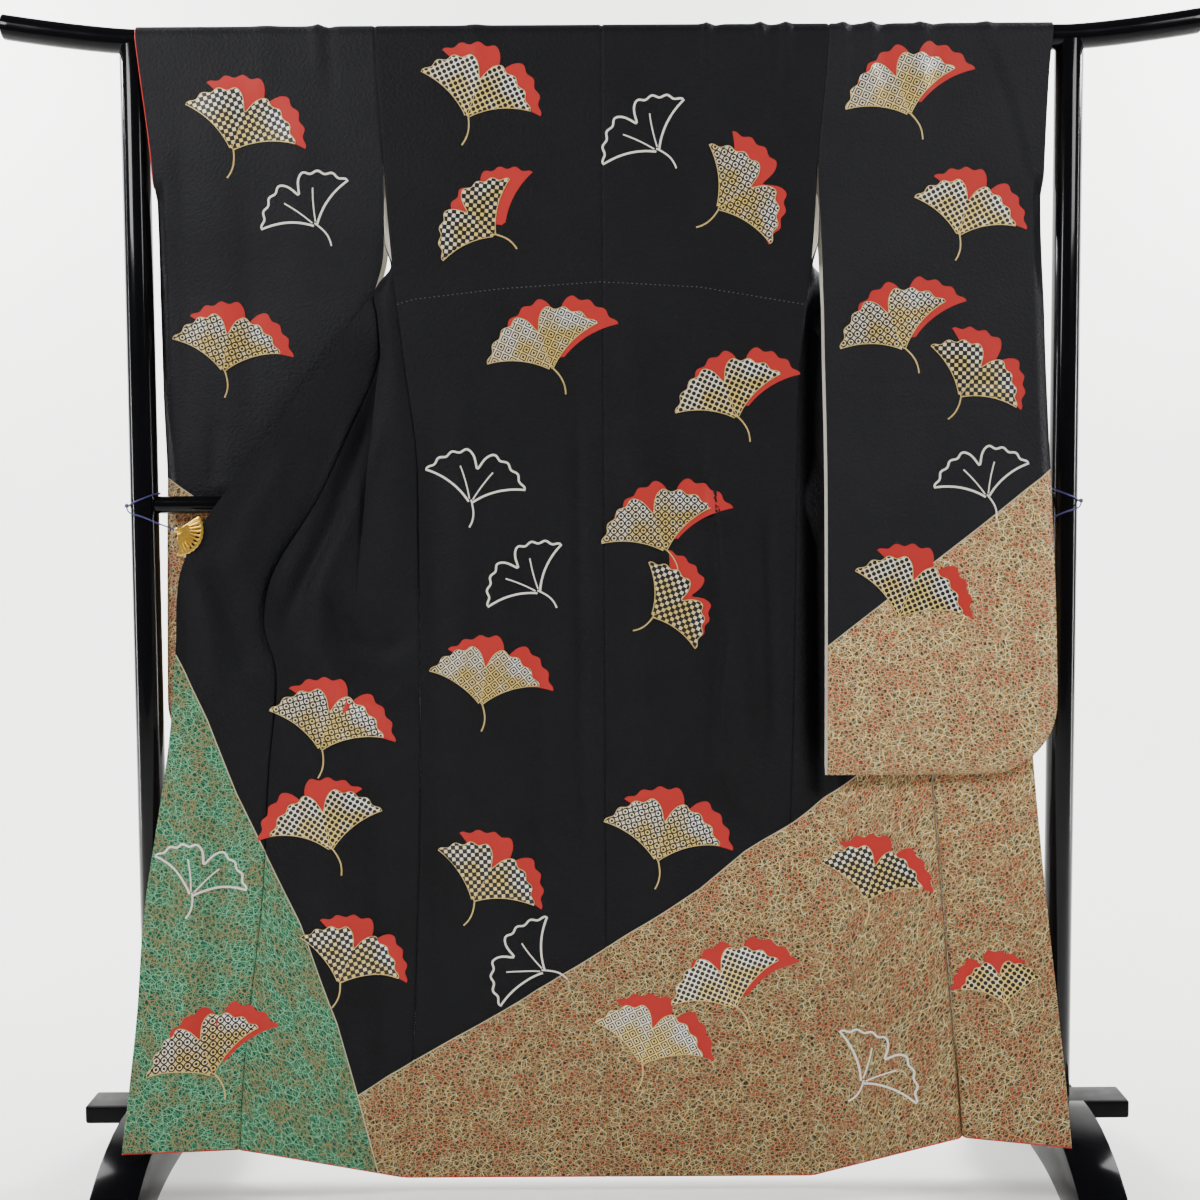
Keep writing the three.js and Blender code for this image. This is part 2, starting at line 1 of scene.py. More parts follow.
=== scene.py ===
# %% [markdown]
# A furisode is a long-sleeved silk kimono. This one hangs open over the top rail of a black lacquered
# stand, with its back towards the viewer. Two small clips pull its fronts out to the sides, where they are
# tied to the posts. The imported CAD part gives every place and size. Here each piece of cloth gets its
# folds, seams and dyed grounds, and the stand gets its round, glossy forms.

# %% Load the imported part
import math

import bpy
import numpy as np
from mathutils import Matrix, Vector
from mathutils.bvhtree import BVHTree


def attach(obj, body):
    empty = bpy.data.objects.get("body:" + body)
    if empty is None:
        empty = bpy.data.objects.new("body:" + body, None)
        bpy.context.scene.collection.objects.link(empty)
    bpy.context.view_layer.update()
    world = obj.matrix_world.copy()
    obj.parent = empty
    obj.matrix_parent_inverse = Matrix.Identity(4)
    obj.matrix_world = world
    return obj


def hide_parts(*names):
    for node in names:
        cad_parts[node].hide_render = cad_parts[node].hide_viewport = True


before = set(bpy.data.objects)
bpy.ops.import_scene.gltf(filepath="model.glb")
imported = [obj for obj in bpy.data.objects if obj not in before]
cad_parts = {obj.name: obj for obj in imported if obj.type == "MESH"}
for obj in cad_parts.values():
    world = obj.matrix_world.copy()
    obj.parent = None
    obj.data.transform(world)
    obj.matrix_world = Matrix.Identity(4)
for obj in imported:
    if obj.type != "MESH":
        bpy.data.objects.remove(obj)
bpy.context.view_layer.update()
bpy.ops.object.select_all(action="DESELECT")

# %% [markdown]
# The camera stands 2.35 m in front of the rails, a little above 1 m, and looks slightly down. A lens of 49
# mm on a 36 mm sensor gives the picture's field. The picture leans by a third of a degree, so the camera
# does too.

# %% Place the camera
FOCAL = 1632  # in pixels of a picture 1200 wide
tilt = math.atan(108 / FOCAL)
lean = -0.0055
bpy.ops.object.camera_add(location=(0, -2.35, 1.016))
camera = bpy.context.object
camera.name = "camera"
turn = Matrix.Rotation(math.pi / 2 - tilt, 4, "X") @ Matrix.Rotation(lean, 4, "Z")
camera.rotation_euler = turn.to_euler()
camera.data.sensor_width = 36
camera.data.lens = FOCAL / 1200 * 36
camera.data.shift_x = -4.5 / 1200
bpy.context.scene.camera = camera
print("lens", round(camera.data.lens, 2), "mm")

# %% [markdown]
# The cut of the garment is kept in short tables, in millimetres, as a sewer keeps measures. Each row gives
# a height, or a length down the cloth, and the place of the cloth's lines there. A smooth curve joins the
# rows.

# %% Tables of the cut
CLOTH = 1.6  # crepe and lining together
OVER_RAIL = 18.5  # lining side of the cloth where it bends over the rail
RAIL_HEIGHT = 1653
HEM = 28  # height of the hem above the floor
SHOULDER = 1675  # height from which lengths down the cloth are counted
ARMHOLE_LOW, ARMHOLE_TOP = 1345, 1480  # heights between which body and sleeve aren't sewn together
NECK = 72  # half the width of the neck opening on top of the rail
NECK_FREE = 46  # the same at the collar's free edge
COLLAR = 55  # width of the folded collar
POST = 660  # distance of each post from the middle
MIDDLE_RAIL = 1001  # height of the middle rail

BACK = [  # height, left side x, right side x, middle y, side y
    [28, -295, 297, -45, -45],
    [195, -280, 282, -41, -41],
    [390, -272, 268, -36, -35.5],
    [545, -267, 266, -32, -31.5],
    [698, -265, 271, -28, -27],
    [838, -265, 273, -25.5, -24.5],
    [962, -265.5, 275, -23.5, -22.5],
    [1077, -267, 276, -22, -21.5],
    [1190, -281, 279, -21, -20.5],
    [1345, -298, 295.5, -20, -20],
    [1480, -308, 304, -19.6, -19.6],
    [1600, -315.5, 315, -19.6, -19.6],
    [1653, -318, 319, -18.5, -18.5],
    [1672, -319, 320, -18.5, -18.5],
]

FRONT = {  # length, overlap seam x, y, z, front edge x, y, z
    "left": [
        [22, -72, 18.5, 1645, -72, 18.5, 1645],
        [110, -130, 19.6, 1566, -130, 19.6, 1566],
        [195, -193, 20, 1480, -193, 20, 1480],
        [272, -251, 19.5, 1402, -251, 19.5, 1402],
        [330, -293, 16, 1345, -293, 16, 1345],
        [375, -324, 0, 1303, -324, 0, 1303],
        [425, -320, -9, 1262, -348, -8, 1270],
        [500, -321, -10, 1200, -383, -16, 1222],
        [600, -356, -13, 1115, -432, -24, 1156],
        [715, -406, -19.5, 1008, -500, -37, 1063],
        [838, -471, -26, 905, -570, -46, 968],
        [925, -484, -30, 830, -602, -47, 893],
        [1010, -468, -33, 760, -608, -47, 800],
        [1130, -481, -38, 620, -621, -50, 655],
        [1280, -491, -48, 445, -655, -63, 438],
        [1450, -510, -68, 270, -661, -98, 285],
        [1560, -516, -90, 175, -663, -138, 190],
        [1647, -517, -110, 97, -664, -174, 117],
    ],
    "right": [
        [22, 72, 18.5, 1645, 72, 18.5, 1645],
        [110, 131, 19.6, 1566, 131, 19.6, 1566],
        [195, 194, 20, 1480, 194, 20, 1480],
        [272, 253, 19.5, 1402, 253, 19.5, 1402],
        [335, 297, 15, 1340, 297, 15, 1340],
        [375, 326, 2, 1303, 326, 2, 1303],
        [425, 324, -10, 1262, 351, -7, 1270],
        [500, 338, -13, 1200, 387, -11, 1222],
        [600, 372, -16, 1115, 436, -16, 1156],
        [715, 415, -20, 1008, 505, -20, 1063],
        [838, 446, -23, 905, 576, -22, 968],
        [925, 455, -26, 820, 592, -27, 878],
        [1010, 463, -29, 735, 602, -32, 765],
        [1130, 470, -37, 600, 612, -42, 612],
        [1280, 483, -50, 430, 626, -62, 433],
        [1450, 494, -72, 262, 636, -100, 275],
        [1560, 498, -92, 178, 636, -140, 188],
        [1647, 500, -110, 109, 634.5, -174, 119],
    ],
}

SLEEVE = {  # height, inner x, outer x, near y, far y
    "left": [
        [612, -314, -639, 18, 27],
        [722, -314, -639, 18, 28],
        [975, -315, -634, 17.5, 30],
        [1040, -318, -632, 17, 30],
        [1150, -328, -634, 13, 28],
        [1230, -336, -634, 10, 26],
        [1270, -334, -634, 8.5, 25],
        [1300, -327, -634, 6.5, 24.5],
        [1345, -313, -633, -1, 24],
        [1400, -309, -632, -11, 23],
        [1480, -308, -633, -19.6, 19.6],
        [1540, -311, -639, -19.6, 19.6],
        [1600, -315.5, -646, -19.6, 19.6],
        [1653, -318, -652, -18.5, 18.5],
        [1672, -319, -653, -18.5, 18.5],
    ],
    "right": [
        [612, 315, 641, -56, -46],
        [722, 315, 641, -55, -45],
        [860, 315, 638, -52, -41],
        [1012, 315, 632, -46, -33],
        [1100, 314, 628, -41, -28.5],
        [1200, 312, 624, -35, -23],
        [1270, 311, 622, -31, -20],
        [1300, 310, 621, -29, -16.5],
        [1345, 309, 620, -26, -7],
        [1400, 307, 620, -22, 7],
        [1480, 304, 622, -19.6, 19.6],
        [1600, 315, 627, -19.6, 19.6],
        [1653, 319, 632, -18.5, 18.5],
        [1672, 320, 634, -18.5, 18.5],
    ],
}
SIGN = {"left": -1, "right": 1}
BACK_EDGE = {"left": 1, "right": 2}  # column of each side seam in BACK


def follow(rows, column, at):
    """Smooth curve through the rows of a table, read at a key in its first column."""
    keys = np.array([row[0] for row in rows], float)
    vals = np.array([row[column] for row in rows], float)
    step = np.arange(len(keys))
    before, after = np.maximum(step - 1, 0), np.minimum(step + 1, len(keys) - 1)
    slope = (vals[after] - vals[before]) / (keys[after] - keys[before])
    at = np.clip(at, keys[0], keys[-1])
    i = np.clip(np.searchsorted(keys, at, side="right") - 1, 0, len(keys) - 2)
    h = keys[i + 1] - keys[i]
    t = (at - keys[i]) / h
    rise = vals[i] * (1 + 2 * t) * (1 - t) ** 2 + vals[i + 1] * (3 - 2 * t) * t**2
    return rise + h * t * (1 - t) * (slope[i] * (1 - t) - slope[i + 1] * t)


def ease(t):
    t = np.clip(t, 0, 1)
    return t * t * (3 - 2 * t)


print("side seam at the hem", follow(BACK, 1, 28.0), follow(BACK, 2, 28.0))

# %% [markdown]
# Hanging silk folds in a few ways: broad soft waves, troughs that run from a pulled point, and creases
# where one side of the cloth lies over the other. A cloth simulation would give folds, but not these, so
# each main fold is listed as a line with a width and a height. A crease has a sharp side as well.

# %% Folds, seen from the viewer's side
FOLDS = {  # points x, z of the line; half width; height towards the viewer; sharpness of a crease, or 0
    "back": [
        ([(-246, 1180), (-240, 800), (-238, 240)], 20, -6, 0),
        ([(-205, 1250), (-196, 120)], 24, 4, 0),
        ([(-150, 1100), (-160, 500), (-172, 90)], 30, 4, 0),
        ([(-88, 900), (-96, 500), (-104, 120)], 14, -3.5, 0),
        ([(-38, 1180), (-34, 800), (-28, 480)], 9, -5, 0),
        ([(-30, 760), (-37, 640), (-30, 560)], 9, 2.4, 5),
        ([(40, 1420), (62, 900), (48, 420)], 26, 4, 0),
        ([(100, 1240), (112, 860)], 16, -2.2, 0),
        ([(138, 1120), (160, 960), (172, 801), (163, 713), (161, 653), (166, 580)], 20, 8, 4.5),
        ([(166, 640), (184, 572), (225, 545), (268, 556)], 11, -6, 0),
        ([(188, 850), (200, 700), (215, 600)], 16, 6, 0),
        ([(232, 1020), (240, 800), (244, 620)], 9, -5, 0),
        ([(226, 560), (236, 380), (240, 200)], 18, -4, 0),
        ([(90, 700), (78, 90)], 30, 4, 0),
        ([(30, 520), (14, 80)], 20, -2.5, 0),
        ([(160, 480), (175, 80)], 26, 3, 0),
        ([(-110, 620), (-128, 90)], 32, 4, 0),
        ([(-60, 420), (-66, 60)], 16, -2.5, 0),
        ([(-262, 700), (-200, 560), (-120, 520)], 16, 2.2, 0),
        ([(149, 1700), (146, 1590)], 6, 2.8, 0),
        ([(160, 1700), (164, 1560)], 7, -1.8, 0),
        ([(224, 1700), (222, 1600)], 6, 3.2, 0),
        ([(238, 1700), (244, 1500)], 8, -2, 0),
        ([(260, 1700), (258, 1580)], 6, 3, 0),
        ([(-180, 1700), (-168, 1560)], 12, 1.6, 0),
    ],
    "front left": [
        ([(-326, 1175), (-345, 1100), (-385, 985), (-425, 905), (-450, 850), (-458, 790)], 11, -8, 0),
        ([(-312, 1150), (-322, 1090), (-355, 985), (-398, 900), (-425, 830)], 14, 6, 0),
        ([(-350, 1150), (-372, 1080), (-412, 985), (-448, 905), (-474, 850)], 12, 5, 0),
        ([(-440, 1080), (-500, 980), (-530, 900)], 16, 4, 0),
        ([(-574, 930), (-549, 891), (-535, 847), (-528, 821), (-505, 745)], 13, -7, 0),
        ([(-588, 925), (-570, 880), (-560, 820), (-552, 730)], 12, 5, 0),
        ([(-602, 905), (-594, 830), (-592, 740)], 9, -4, 0),
        ([(-560, 950), (-500, 900), (-470, 800), (-450, 700)], 20, 4, 0),
        ([(-395, 925), (-409, 800), (-372, 735), (-315, 712), (-255, 745)], 19, 9, 0),
        ([(-385, 897), (-383, 843), (-361, 805), (-321, 792), (-262, 815)], 15, -8, 0),
        ([(-425, 700), (-390, 655), (-330, 640), (-262, 668)], 17, -5, 0),
        ([(-380, 640), (-400, 140)], 34, 7, 0),
        ([(-330, 600), (-318, 120)], 16, -6, 0),
        ([(-430, 560), (-450, 120)], 22, -5, 0),
        ([(-575, 700), (-600, 160)], 26, 8, 0),
        ([(-545, 620), (-560, 110)], 20, -6, 0),
        ([(-620, 560), (-632, 140)], 16, -5, 0),
    ],
    "front right": [
        ([(298, 1480), (301, 1200), (304, 1050), (308, 900), (310, 760), (312, 480)], 17, -26, 0),
        ([(370, 620), (382, 150)], 30, 6, 0),
        ([(300, 560), (318, 120)], 18, -5, 0),
        ([(560, 620), (585, 240)], 24, 5, 0),
        ([(420, 900), (430, 420)], 20, -4, 0),
        ([(530, 560), (545, 160)], 18, -4, 0),
        ([(600, 500), (612, 180)], 14, -3, 0),
        ([(450, 400), (455, 140)], 16, 3, 0),
    ],
    "sleeve left": [
        ([(-540, 1640), (-556, 1090)], 34, 3, 0),
        ([(-530, 940), (-545, 700)], 34, 3, 0),
        ([(-420, 1600), (-440, 1240)], 30, 3, 0),
        ([(-590, 1560), (-598, 1100)], 14, -2.6, 0),
        ([(-498, 1480), (-512, 1060)], 16, -2.4, 0),
        ([(-400, 1700), (-396, 1600)], 7, 3.2, 0),
        ([(-386, 1700), (-378, 1560)], 8, -2, 0),
        ([(-610, 1120), (-560, 1030), (-480, 1020)], 14, 2.4, 0),
        ([(-470, 1690), (-478, 1560)], 16, 1.6, 0),
        ([(-560, 1130), (-566, 1020)], 8, -3.5, 0),
    ],
    "sleeve right": [
        ([(530, 1672), (571, 1573), (602, 1464), (626, 1400)], 13, 4.5, 4),
        ([(400, 1600), (395, 720)], 32, 3, 0),
        ([(520, 1300), (540, 700)], 34, 3, 0),
        ([(455, 1350), (462, 800)], 20, -2.2, 0),
        ([(590, 1180), (600, 760)], 16, -2.2, 0),
        ([(341, 1700), (338, 1590)], 6, 2.6, 0),
        ([(352, 1700), (356, 1520)], 8, -2, 0),
        ([(380, 1700), (376, 1580)], 6, 3.4, 0),
        ([(392, 1700), (400, 1540)], 9, -2.2, 0),
        ([(451, 1700), (446, 1560)], 7, 2.6, 0),
        ([(466, 1700), (474, 1560)], 9, -1.8, 0),
        ([(542, 1700), (536, 1600)], 7, 2.4, 0),
        ([(334, 1166), (630, 1165)], 5, -0.9, 0),
        ([(334, 1131), (630, 1130)], 4, -0.9, 0),
    ],
    "far": [
        ([(-560, 1600), (-570, 800)], 30, 4, 0),
        ([(-420, 1560), (-412, 760)], 26, -4, 0),
        ([(400, 1560), (410, 760)], 26, 4, 0),
        ([(540, 1500), (552, 800)], 24, -4, 0),
        ([(-160, 1560), (-230, 1420)], 14, 3, 0),
        ([(160, 1560), (230, 1420)], 14, 3, 0),
    ],
}


def beside(x, z, line):
    """Distance to a line, on which hand of it a point lies, and how far along the nearest place is."""
    near, side, along, run = None, None, None, 0.0
    for (x0, z0), (x1, z1) in zip(line, line[1:]):
        dx, dz = x1 - x0, z1 - z0
        size = math.hypot(dx, dz)
        t = ((x - x0) * dx + (z - z0) * dz) / size**2
        t = np.clip(t, 0, 1)
        away = np.hypot(x - x0 - t * dx, z - z0 - t * dz)
        hand = np.sign((x - x0) * dz - (z - z0) * dx)
        place = run + t * size
        if near is None:
            near, side, along = away, hand, place
        else:
            closer = away < near
            near = np.where(closer, away, near)
            side = np.where(closer, hand, side)
            along = np.where(closer, place, along)
        run += size
    return near, side, along / run


def raised(folds, x, z):
    """Height towards the viewer that a list of folds gives the cloth at x, z."""
    total = np.zeros_like(x)
    for line, width, height, crease in folds:
        away, side, along = beside(x, z, line)
        fade = ease(np.minimum(along, 1 - along) / 0.22)
        if crease:
            signed = -side * away if line[0][1] > line[-1][1] else side * away
            total += height * fade * np.tanh(signed / crease) * np.exp(-away / width)
        else:
            total += height * fade * np.exp(-((away / width) ** 2))
    return total


print(sum(len(folds) for folds in FOLDS.values()), "folds")

# %% [markdown]
# The panels are grids of points on their lining side. Columns crowd together near the edges, where the
# cloth rolls into a seam. The left front has one more line, where a strip of it beside the side seam hangs
# in front of the rest, so its columns crowd there too.

# %% Grids of points
def crowd(cells, pull=0.6):
    """Shares from 0 to 1, closer together near both ends."""
    t = np.linspace(0, 1, cells + 1)
    return t - pull * np.sin(2 * np.pi * t) / (2 * np.pi)


STRIP = [  # length, share of the left front at which the strip's border lies
    [22, 0.6],
    [200, 0.5],
    [300, 0.12],
    [345, 0.03],
    [420, 0.04],
    [484, 0.07],
    [524, 0.12],
    [582, 0.26],
    [640, 0.36],
    [708, 0.45],
    [786, 0.53],
    [900, 0.6],
    [1647, 0.62],
]
TO_STRIP, IN_STRIP = 54, 30
OVERLAP_CELLS = 34
plain = crowd(TO_STRIP + IN_STRIP)


def stack(x, y, z):
    return np.stack(np.broadcast_arrays(x, y, z), axis=-1).astype(float)


def back_points(side, heights):
    edge = follow(BACK, BACK_EDGE[side], heights)[:, None]
    middle = follow(BACK, 3, heights)[:, None]
    near = follow(BACK, 4, heights)[:, None]
    return stack(edge * plain, middle + (near - middle) * plain**2, heights[:, None])


def ridge_points(side, degrees):
    angle = np.radians(degrees)
    z = RAIL_HEIGHT + OVER_RAIL * np.sin(angle)
    cut = (NECK * np.maximum(0, 1 - degrees / 60) * SIGN[side])[:, None]
    edge = follow(BACK, BACK_EDGE[side], z)[:, None]
    return stack(cut + (edge - cut) * plain, (OVER_RAIL * np.cos(angle))[:, None], z[:, None])


def front_lines(side, lengths):
    """Overlap seam, front edge and side edge of a front, for each length down the cloth."""
    table = FRONT[side]
    seam = stack(*(follow(table, k, lengths) for k in (1, 2, 3)))
    edge = stack(*(follow(table, k, lengths) for k in (4, 5, 6)))
    height = SHOULDER - lengths
    swing = ease((height - ARMHOLE_LOW) / (ARMHOLE_TOP - ARMHOLE_LOW))
    near = follow(BACK, 4, height)
    far = np.where(height > 1600, OVER_RAIL + 0.6, 19.6)
    # A little of the lining shows in the armhole
    shown = 8 * SIGN[side] * ease((height - 1330) / 40) * (1 - ease((height - 1415) / 50))
    outer = stack(follow(BACK, BACK_EDGE[side], height) + shown, near + (far - near) * swing, height)
    return seam, edge, outer


def outward(grid, sign):
    """Directions that point out of the cloth."""
    along = np.gradient(grid, axis=0)
    across = np.gradient(grid, axis=1)
    normal = np.cross(along, across) * sign
    return normal / np.maximum(np.linalg.norm(normal, axis=-1, keepdims=True), 1e-9)


def flat_map(grid, sign=1, start=(0.0, 0.0)):
    """Place of each point on the flat cloth, across and along, in metres from where its cut starts."""
    across = np.cumsum(np.linalg.norm(np.diff(grid, axis=1), axis=-1), axis=1)
    along = np.cumsum(np.linalg.norm(np.diff(grid, axis=0), axis=-1), axis=0)
    u = np.pad(across, ((0, 0), (1, 0)))
    v = np.pad(along, ((1, 0), (0, 0)))
    return np.stack([u, v], axis=-1) / 1000 * np.array([sign, 1.0]) + np.array(start)


def rolled(grid, normal, columns, deep=1.7, reach=1.5):
    """Turns the edge columns in towards the lining, as cloth does beside a seam."""
    for column, rows in columns:
        gap = np.linalg.norm(grid - grid[:, [column]], axis=-1)
        drop = deep * np.exp(-((gap / reach) ** 2))
        grid[rows] -= (normal * drop[..., None])[rows]
    return grid


print("columns of a body panel", len(plain))

# %% [markdown]
# Every colour is written as it looks on a screen, and one function turns it to the linear values that the
# renderer needs. One small function adds a node to a material, with its settings and links.

# %% Colour and node helpers
def shade(code):
    """Linear RGBA of an sRGB hex colour."""
    parts = [int(code[i : i + 2], 16) / 255 for i in (1, 3, 5)]
    return tuple(c / 12.92 if c <= 0.04045 else ((c + 0.055) / 1.055) ** 2.4 for c in parts) + (1.0,)


def node(tree, kind, inputs=None, **options):
    """Adds a node. Its inputs are values, or outputs of other nodes to link."""
    made = tree.nodes.new("ShaderNode" + kind)
    for key, value in options.items():
        setattr(made, key, value)
    for key, value in (inputs or {}).items():
        if isinstance(value, bpy.types.NodeSocket):
            tree.links.new(value, made.inputs[key])
        else:
            made.inputs[key].default_value = value
    return made


def finish(name, values):
    """A new material with its shader's own sockets set."""
    material = bpy.data.materials.new(name)
    material.use_nodes = True
    shader = material.node_tree.nodes["Principled BSDF"]
    for key, value in values.items():
        shader.inputs[key].default_value = value
    return material, material.node_tree, shader


print("red dye", [round(c, 4) for c in shade("#b5150c")])

# %% [markdown]
# The grounds below the slanting borders are dyed with a tangle of hair-thin lines, as if threads had been
# thrown over the cloth again and again. It could be drawn line by line. Here five nets of straight lines
# lie over one another, each turned another way, slightly bent, and in its own tint. The lines are about 0.5
# mm wide and the meshes 5 to 8 mm wide and nearly twice as long, as the photo shows them.

# %% A net of hairlines
def hairlines(tree, flat, bend, cell_mm, line_mm, turned, shift):
    """Mask of one net of thin lines. flat is the UV place in metres, and bend moves it a little."""
    moves = {0: bend, 1: (cell_mm * 0.0004,) * 3, 2: flat}
    moved = node(tree, "VectorMath", moves, operation="MULTIPLY_ADD").outputs[0]
    turn = {
        "Vector": moved,
        "Location": (shift, shift * 1.7, 0),
        "Rotation": (0, 0, turned),
        "Scale": (1, 1.8, 1),
    }
    placed = node(tree, "Mapping", turn, vector_type="TEXTURE")
    net = node(
        tree,
        "TexVoronoi",
        {"Vector": placed.outputs[0], "Scale": 1000 / cell_mm, "Randomness": 1.0},
        voronoi_dimensions="2D",
        feature="DISTANCE_TO_EDGE",
    )
    half = line_mm / cell_mm / 2
    edges = {"Value": net.outputs["Distance"], 1: half * 0.5, 2: half * 1.5, 3: 1.0, 4: 0.0}
    return node(tree, "MapRange", edges).outputs[0]


print("five nets lie on each dyed ground")

# %% [markdown]
# Silk crepe is woven with hard-twisted weft that shrinks into tiny grains, so its black is soft, not
# glossy, with a faint sheen at grazing angles. Its grain is about 0.8 mm, drawn here at 2 to 5 mm so that
# it shows. The ground colours follow two borders, kept on the mesh as distances to them, so the borders
# stay sharp.

# %% Silk crepe with its dyed grounds
NETS = [  # mesh and line in millimetres, turn, shift, and two tints on brown and on green
    (6.0, 0.54, 0.25, 0.13, ("#b0703a", "#948255"), ("#3f8a66", "#857650")),
    (7.4, 0.56, 0.95, 0.41, ("#cbb684", "#b85636"), ("#62a67e", "#937c54")),
    (5.2, 0.45, 1.6, 0.77, ("#67917a", "#cdae79"), ("#8f9c68", "#3f9670")),
    (8.2, 0.64, 2.2, 0.29, ("#d8c694", "#b0412a"), ("#7ab48f", "#947a50")),
    (6.6, 0.45, 2.85, 0.53, ("#bb8a3a", "#859272"), ("#2a7f60", "#7d8458")),
]


def crepe_material(name, black, shine, dyed):
    material, tree, shader = finish(
        name, {"Roughness": 0.6, "Specular IOR Level": shine, "Sheen Weight": 0.03, "Sheen Roughness": 0.4}
    )
    shader.inputs["Sheen Tint"].default_value = shade("#b9bcd0")
    flat = node(tree, "UVMap", uv_map="flat").outputs[0]
    clouds = {"Vector": flat, "Scale": 9.0, "Detail": 3.0}
    mottle = node(tree, "TexNoise", clouds, noise_dimensions="2D").outputs[0]
    tone = node(tree, "MapRange", {"Value": mottle, 1: 0.3, 2: 0.7, 3: 0.85, 4: 1.15}).outputs[0]
    colour = node(tree, "VectorMath", {0: shade(black)[:3], "Scale": tone}, operation="SCALE").outputs[0]
    grains = {"Vector": flat, "Scale": 210.0, "Detail": 3.0, "Roughness": 0.65}
    grain = node(tree, "TexNoise", grains, noise_dimensions="2D").outputs[0]
    bump = node(tree, "Bump", {"Height": grain, "Strength": 0.9, "Distance": 0.0018})
    tree.links.new(bump.outputs[0], shader.inputs["Normal"])
    if not dyed:
        tree.links.new(colour, shader.inputs["Base Color"])
        return material

    brown_edge = node(tree, "Attribute", attribute_name="brown").outputs["Fac"]
    green_edge = node(tree, "Attribute", attribute_name="green").outputs["Fac"]
    waves = {"Vector": flat, "Scale": 38.0, "Detail": 1.0}
    bent = node(tree, "TexNoise", waves, noise_dimensions="2D").outputs["Color"]
    bend = node(tree, "VectorMath", {0: bent, 1: (0.5, 0.5, 0.5)}, operation="SUBTRACT").outputs[0]
    masks = [hairlines(tree, flat, bend, *net[:4]) for net in NETS]

    # Patches about 30 mm wide, in which one tint of line is more common
    patches = {"Vector": flat, "Scale": 30.0, "Detail": 3.0, "Roughness": 0.7}
    patch = node(tree, "TexNoise", patches, noise_dimensions="2D").outputs[0]
    where = node(tree, "MapRange", {"Value": patch, 1: 0.44, 2: 0.56}).outputs[0]
    specks = {"Vector": flat, "Scale": 70.0, "Detail": 2.0}
    speck = node(tree, "TexNoise", specks, noise_dimensions="2D").outputs[0]
    blend = node(tree, "MapRange", {"Value": speck, 1: 0.35, 2: 0.65}).outputs[0]

    def ground(base, deep, column):
        """A ground from its two base tints, and under each net the tints in one column of the table."""
        mixed = node(tree, "Mix", {0: blend, 6: shade(base), 7: shade(deep)}, data_type="RGBA").outputs[2]
        for mask, net in zip(masks, NETS):
            first, second = net[column]
            tints = {0: where, 6: shade(first), 7: shade(second)}
            tint = node(tree, "Mix", tints, data_type="RGBA").outputs[2]
            mixed = node(tree, "Mix", {0: mask, 6: mixed, 7: tint}, data_type="RGBA").outputs[2]
        return mixed

    # The brown is painted paler higher up, on the sleeve and towards the waist: painted light, as the
    # lamps light the upper cloth more than the hem
    rise = node(tree, "SeparateXYZ", {0: node(tree, "TexCoord").outputs["Object"]}).outputs[2]
    painted_light_by_height = node(tree, "MapRange", {"Value": rise, 1: 0.3, 2: 0.8, 3: 0.93, 4: 1.4}).outputs[0]
    dyed_brown = ground("#4e3b27", "#34281a", 4)
    brown = node(tree, "VectorMath", {0: dyed_brown, "Scale": painted_light_by_height}, operation="SCALE").outputs[0]
    for edge, pigment in ((brown_edge, brown), (green_edge, ground("#044a3a", "#123f33", 5))):
        inside = node(tree, "MapRange", {"Value": edge, 1: -0.0003, 2: 0.0003}).outputs[0]
        colour = node(tree, "Mix", {0: inside, 6: colour, 7: pigment}, data_type="RGBA").outputs[2]

    # A thin pale line is drawn along each border
    for edge, other in ((brown_edge, green_edge), (green_edge, None)):
        size = node(tree, "Math", {0: edge}, operation="ABSOLUTE").outputs[0]
        line = node(tree, "MapRange", {"Value": size, 1: 0.0005, 2: 0.001, 3: 0.75, 4: 0.0}).outputs[0]
        if other:
            clear = node(tree, "MapRange", {"Value": other, 1: -0.0006, 2: 0.0, 3: 1.0, 4: 0.0}).outputs[0]
            line = node(tree, "Math", {0: line, 1: clear}, operation="MULTIPLY").outputs[0]
        colour = node(tree, "Mix", {0: line, 6: colour, 7: shade("#c4ba98")}, data_type="RGBA").outputs[2]
    tree.links.new(colour, shader.inputs["Base Color"])
    return material


# The sleeves' crepe is painted a shade lighter black and given a little more shine than the body's:
# painted light, for the sleeves catch a little more light than the body does
CREPES = {}
for panel, word, black, shine in (("body", "silk", "#0d0d10", 0.155), ("sleeve", "sleeve", "#111115", 0.205)):
    plain_crepe = crepe_material(f"black_{word}_crepe", black, shine, False)
    CREPES[panel] = (plain_crepe, crepe_material(f"dyed_{word}_crepe", black, shine, True))

# %% [markdown]
# The lining is plain silk, white above and dark brown near the hem. It is smoother than crepe, with a fine
# plain weave that only shows as a slight unevenness. The hems and sleeve mouths have a thin red edge.

# %% Plain silks
def plain_silk(name, colour, rough, sheen):
    values = {"Roughness": rough, "Sheen Weight": sheen, "Specular IOR Level": 0.4}
    material, tree, shader = finish(name, values)
    flat = node(tree, "TexCoord").outputs["Object"]
    thread = node(tree, "TexNoise", {"Vector": flat, "Scale": 420.0, "Detail": 2.0}).outputs[0]
    cloud = node(tree, "TexNoise", {"Vector": flat, "Scale": 14.0, "Detail": 2.0}).outputs[0]
    dark = tuple(c * 0.86 for c in shade(colour)[:3]) + (1.0,)
    tone = node(tree, "MapRange", {"Value": cloud, 1: 0.35, 2: 0.65}).outputs[0]
    mixed = node(tree, "Mix", {0: tone, 6: dark, 7: shade(colour)}, data_type="RGBA").outputs[2]
    tree.links.new(mixed, shader.inputs["Base Color"])
    bump = node(tree, "Bump", {"Height": thread, "Strength": 0.2, "Distance": 0.0003})
    tree.links.new(bump.outputs[0], shader.inputs["Normal"])
    return material


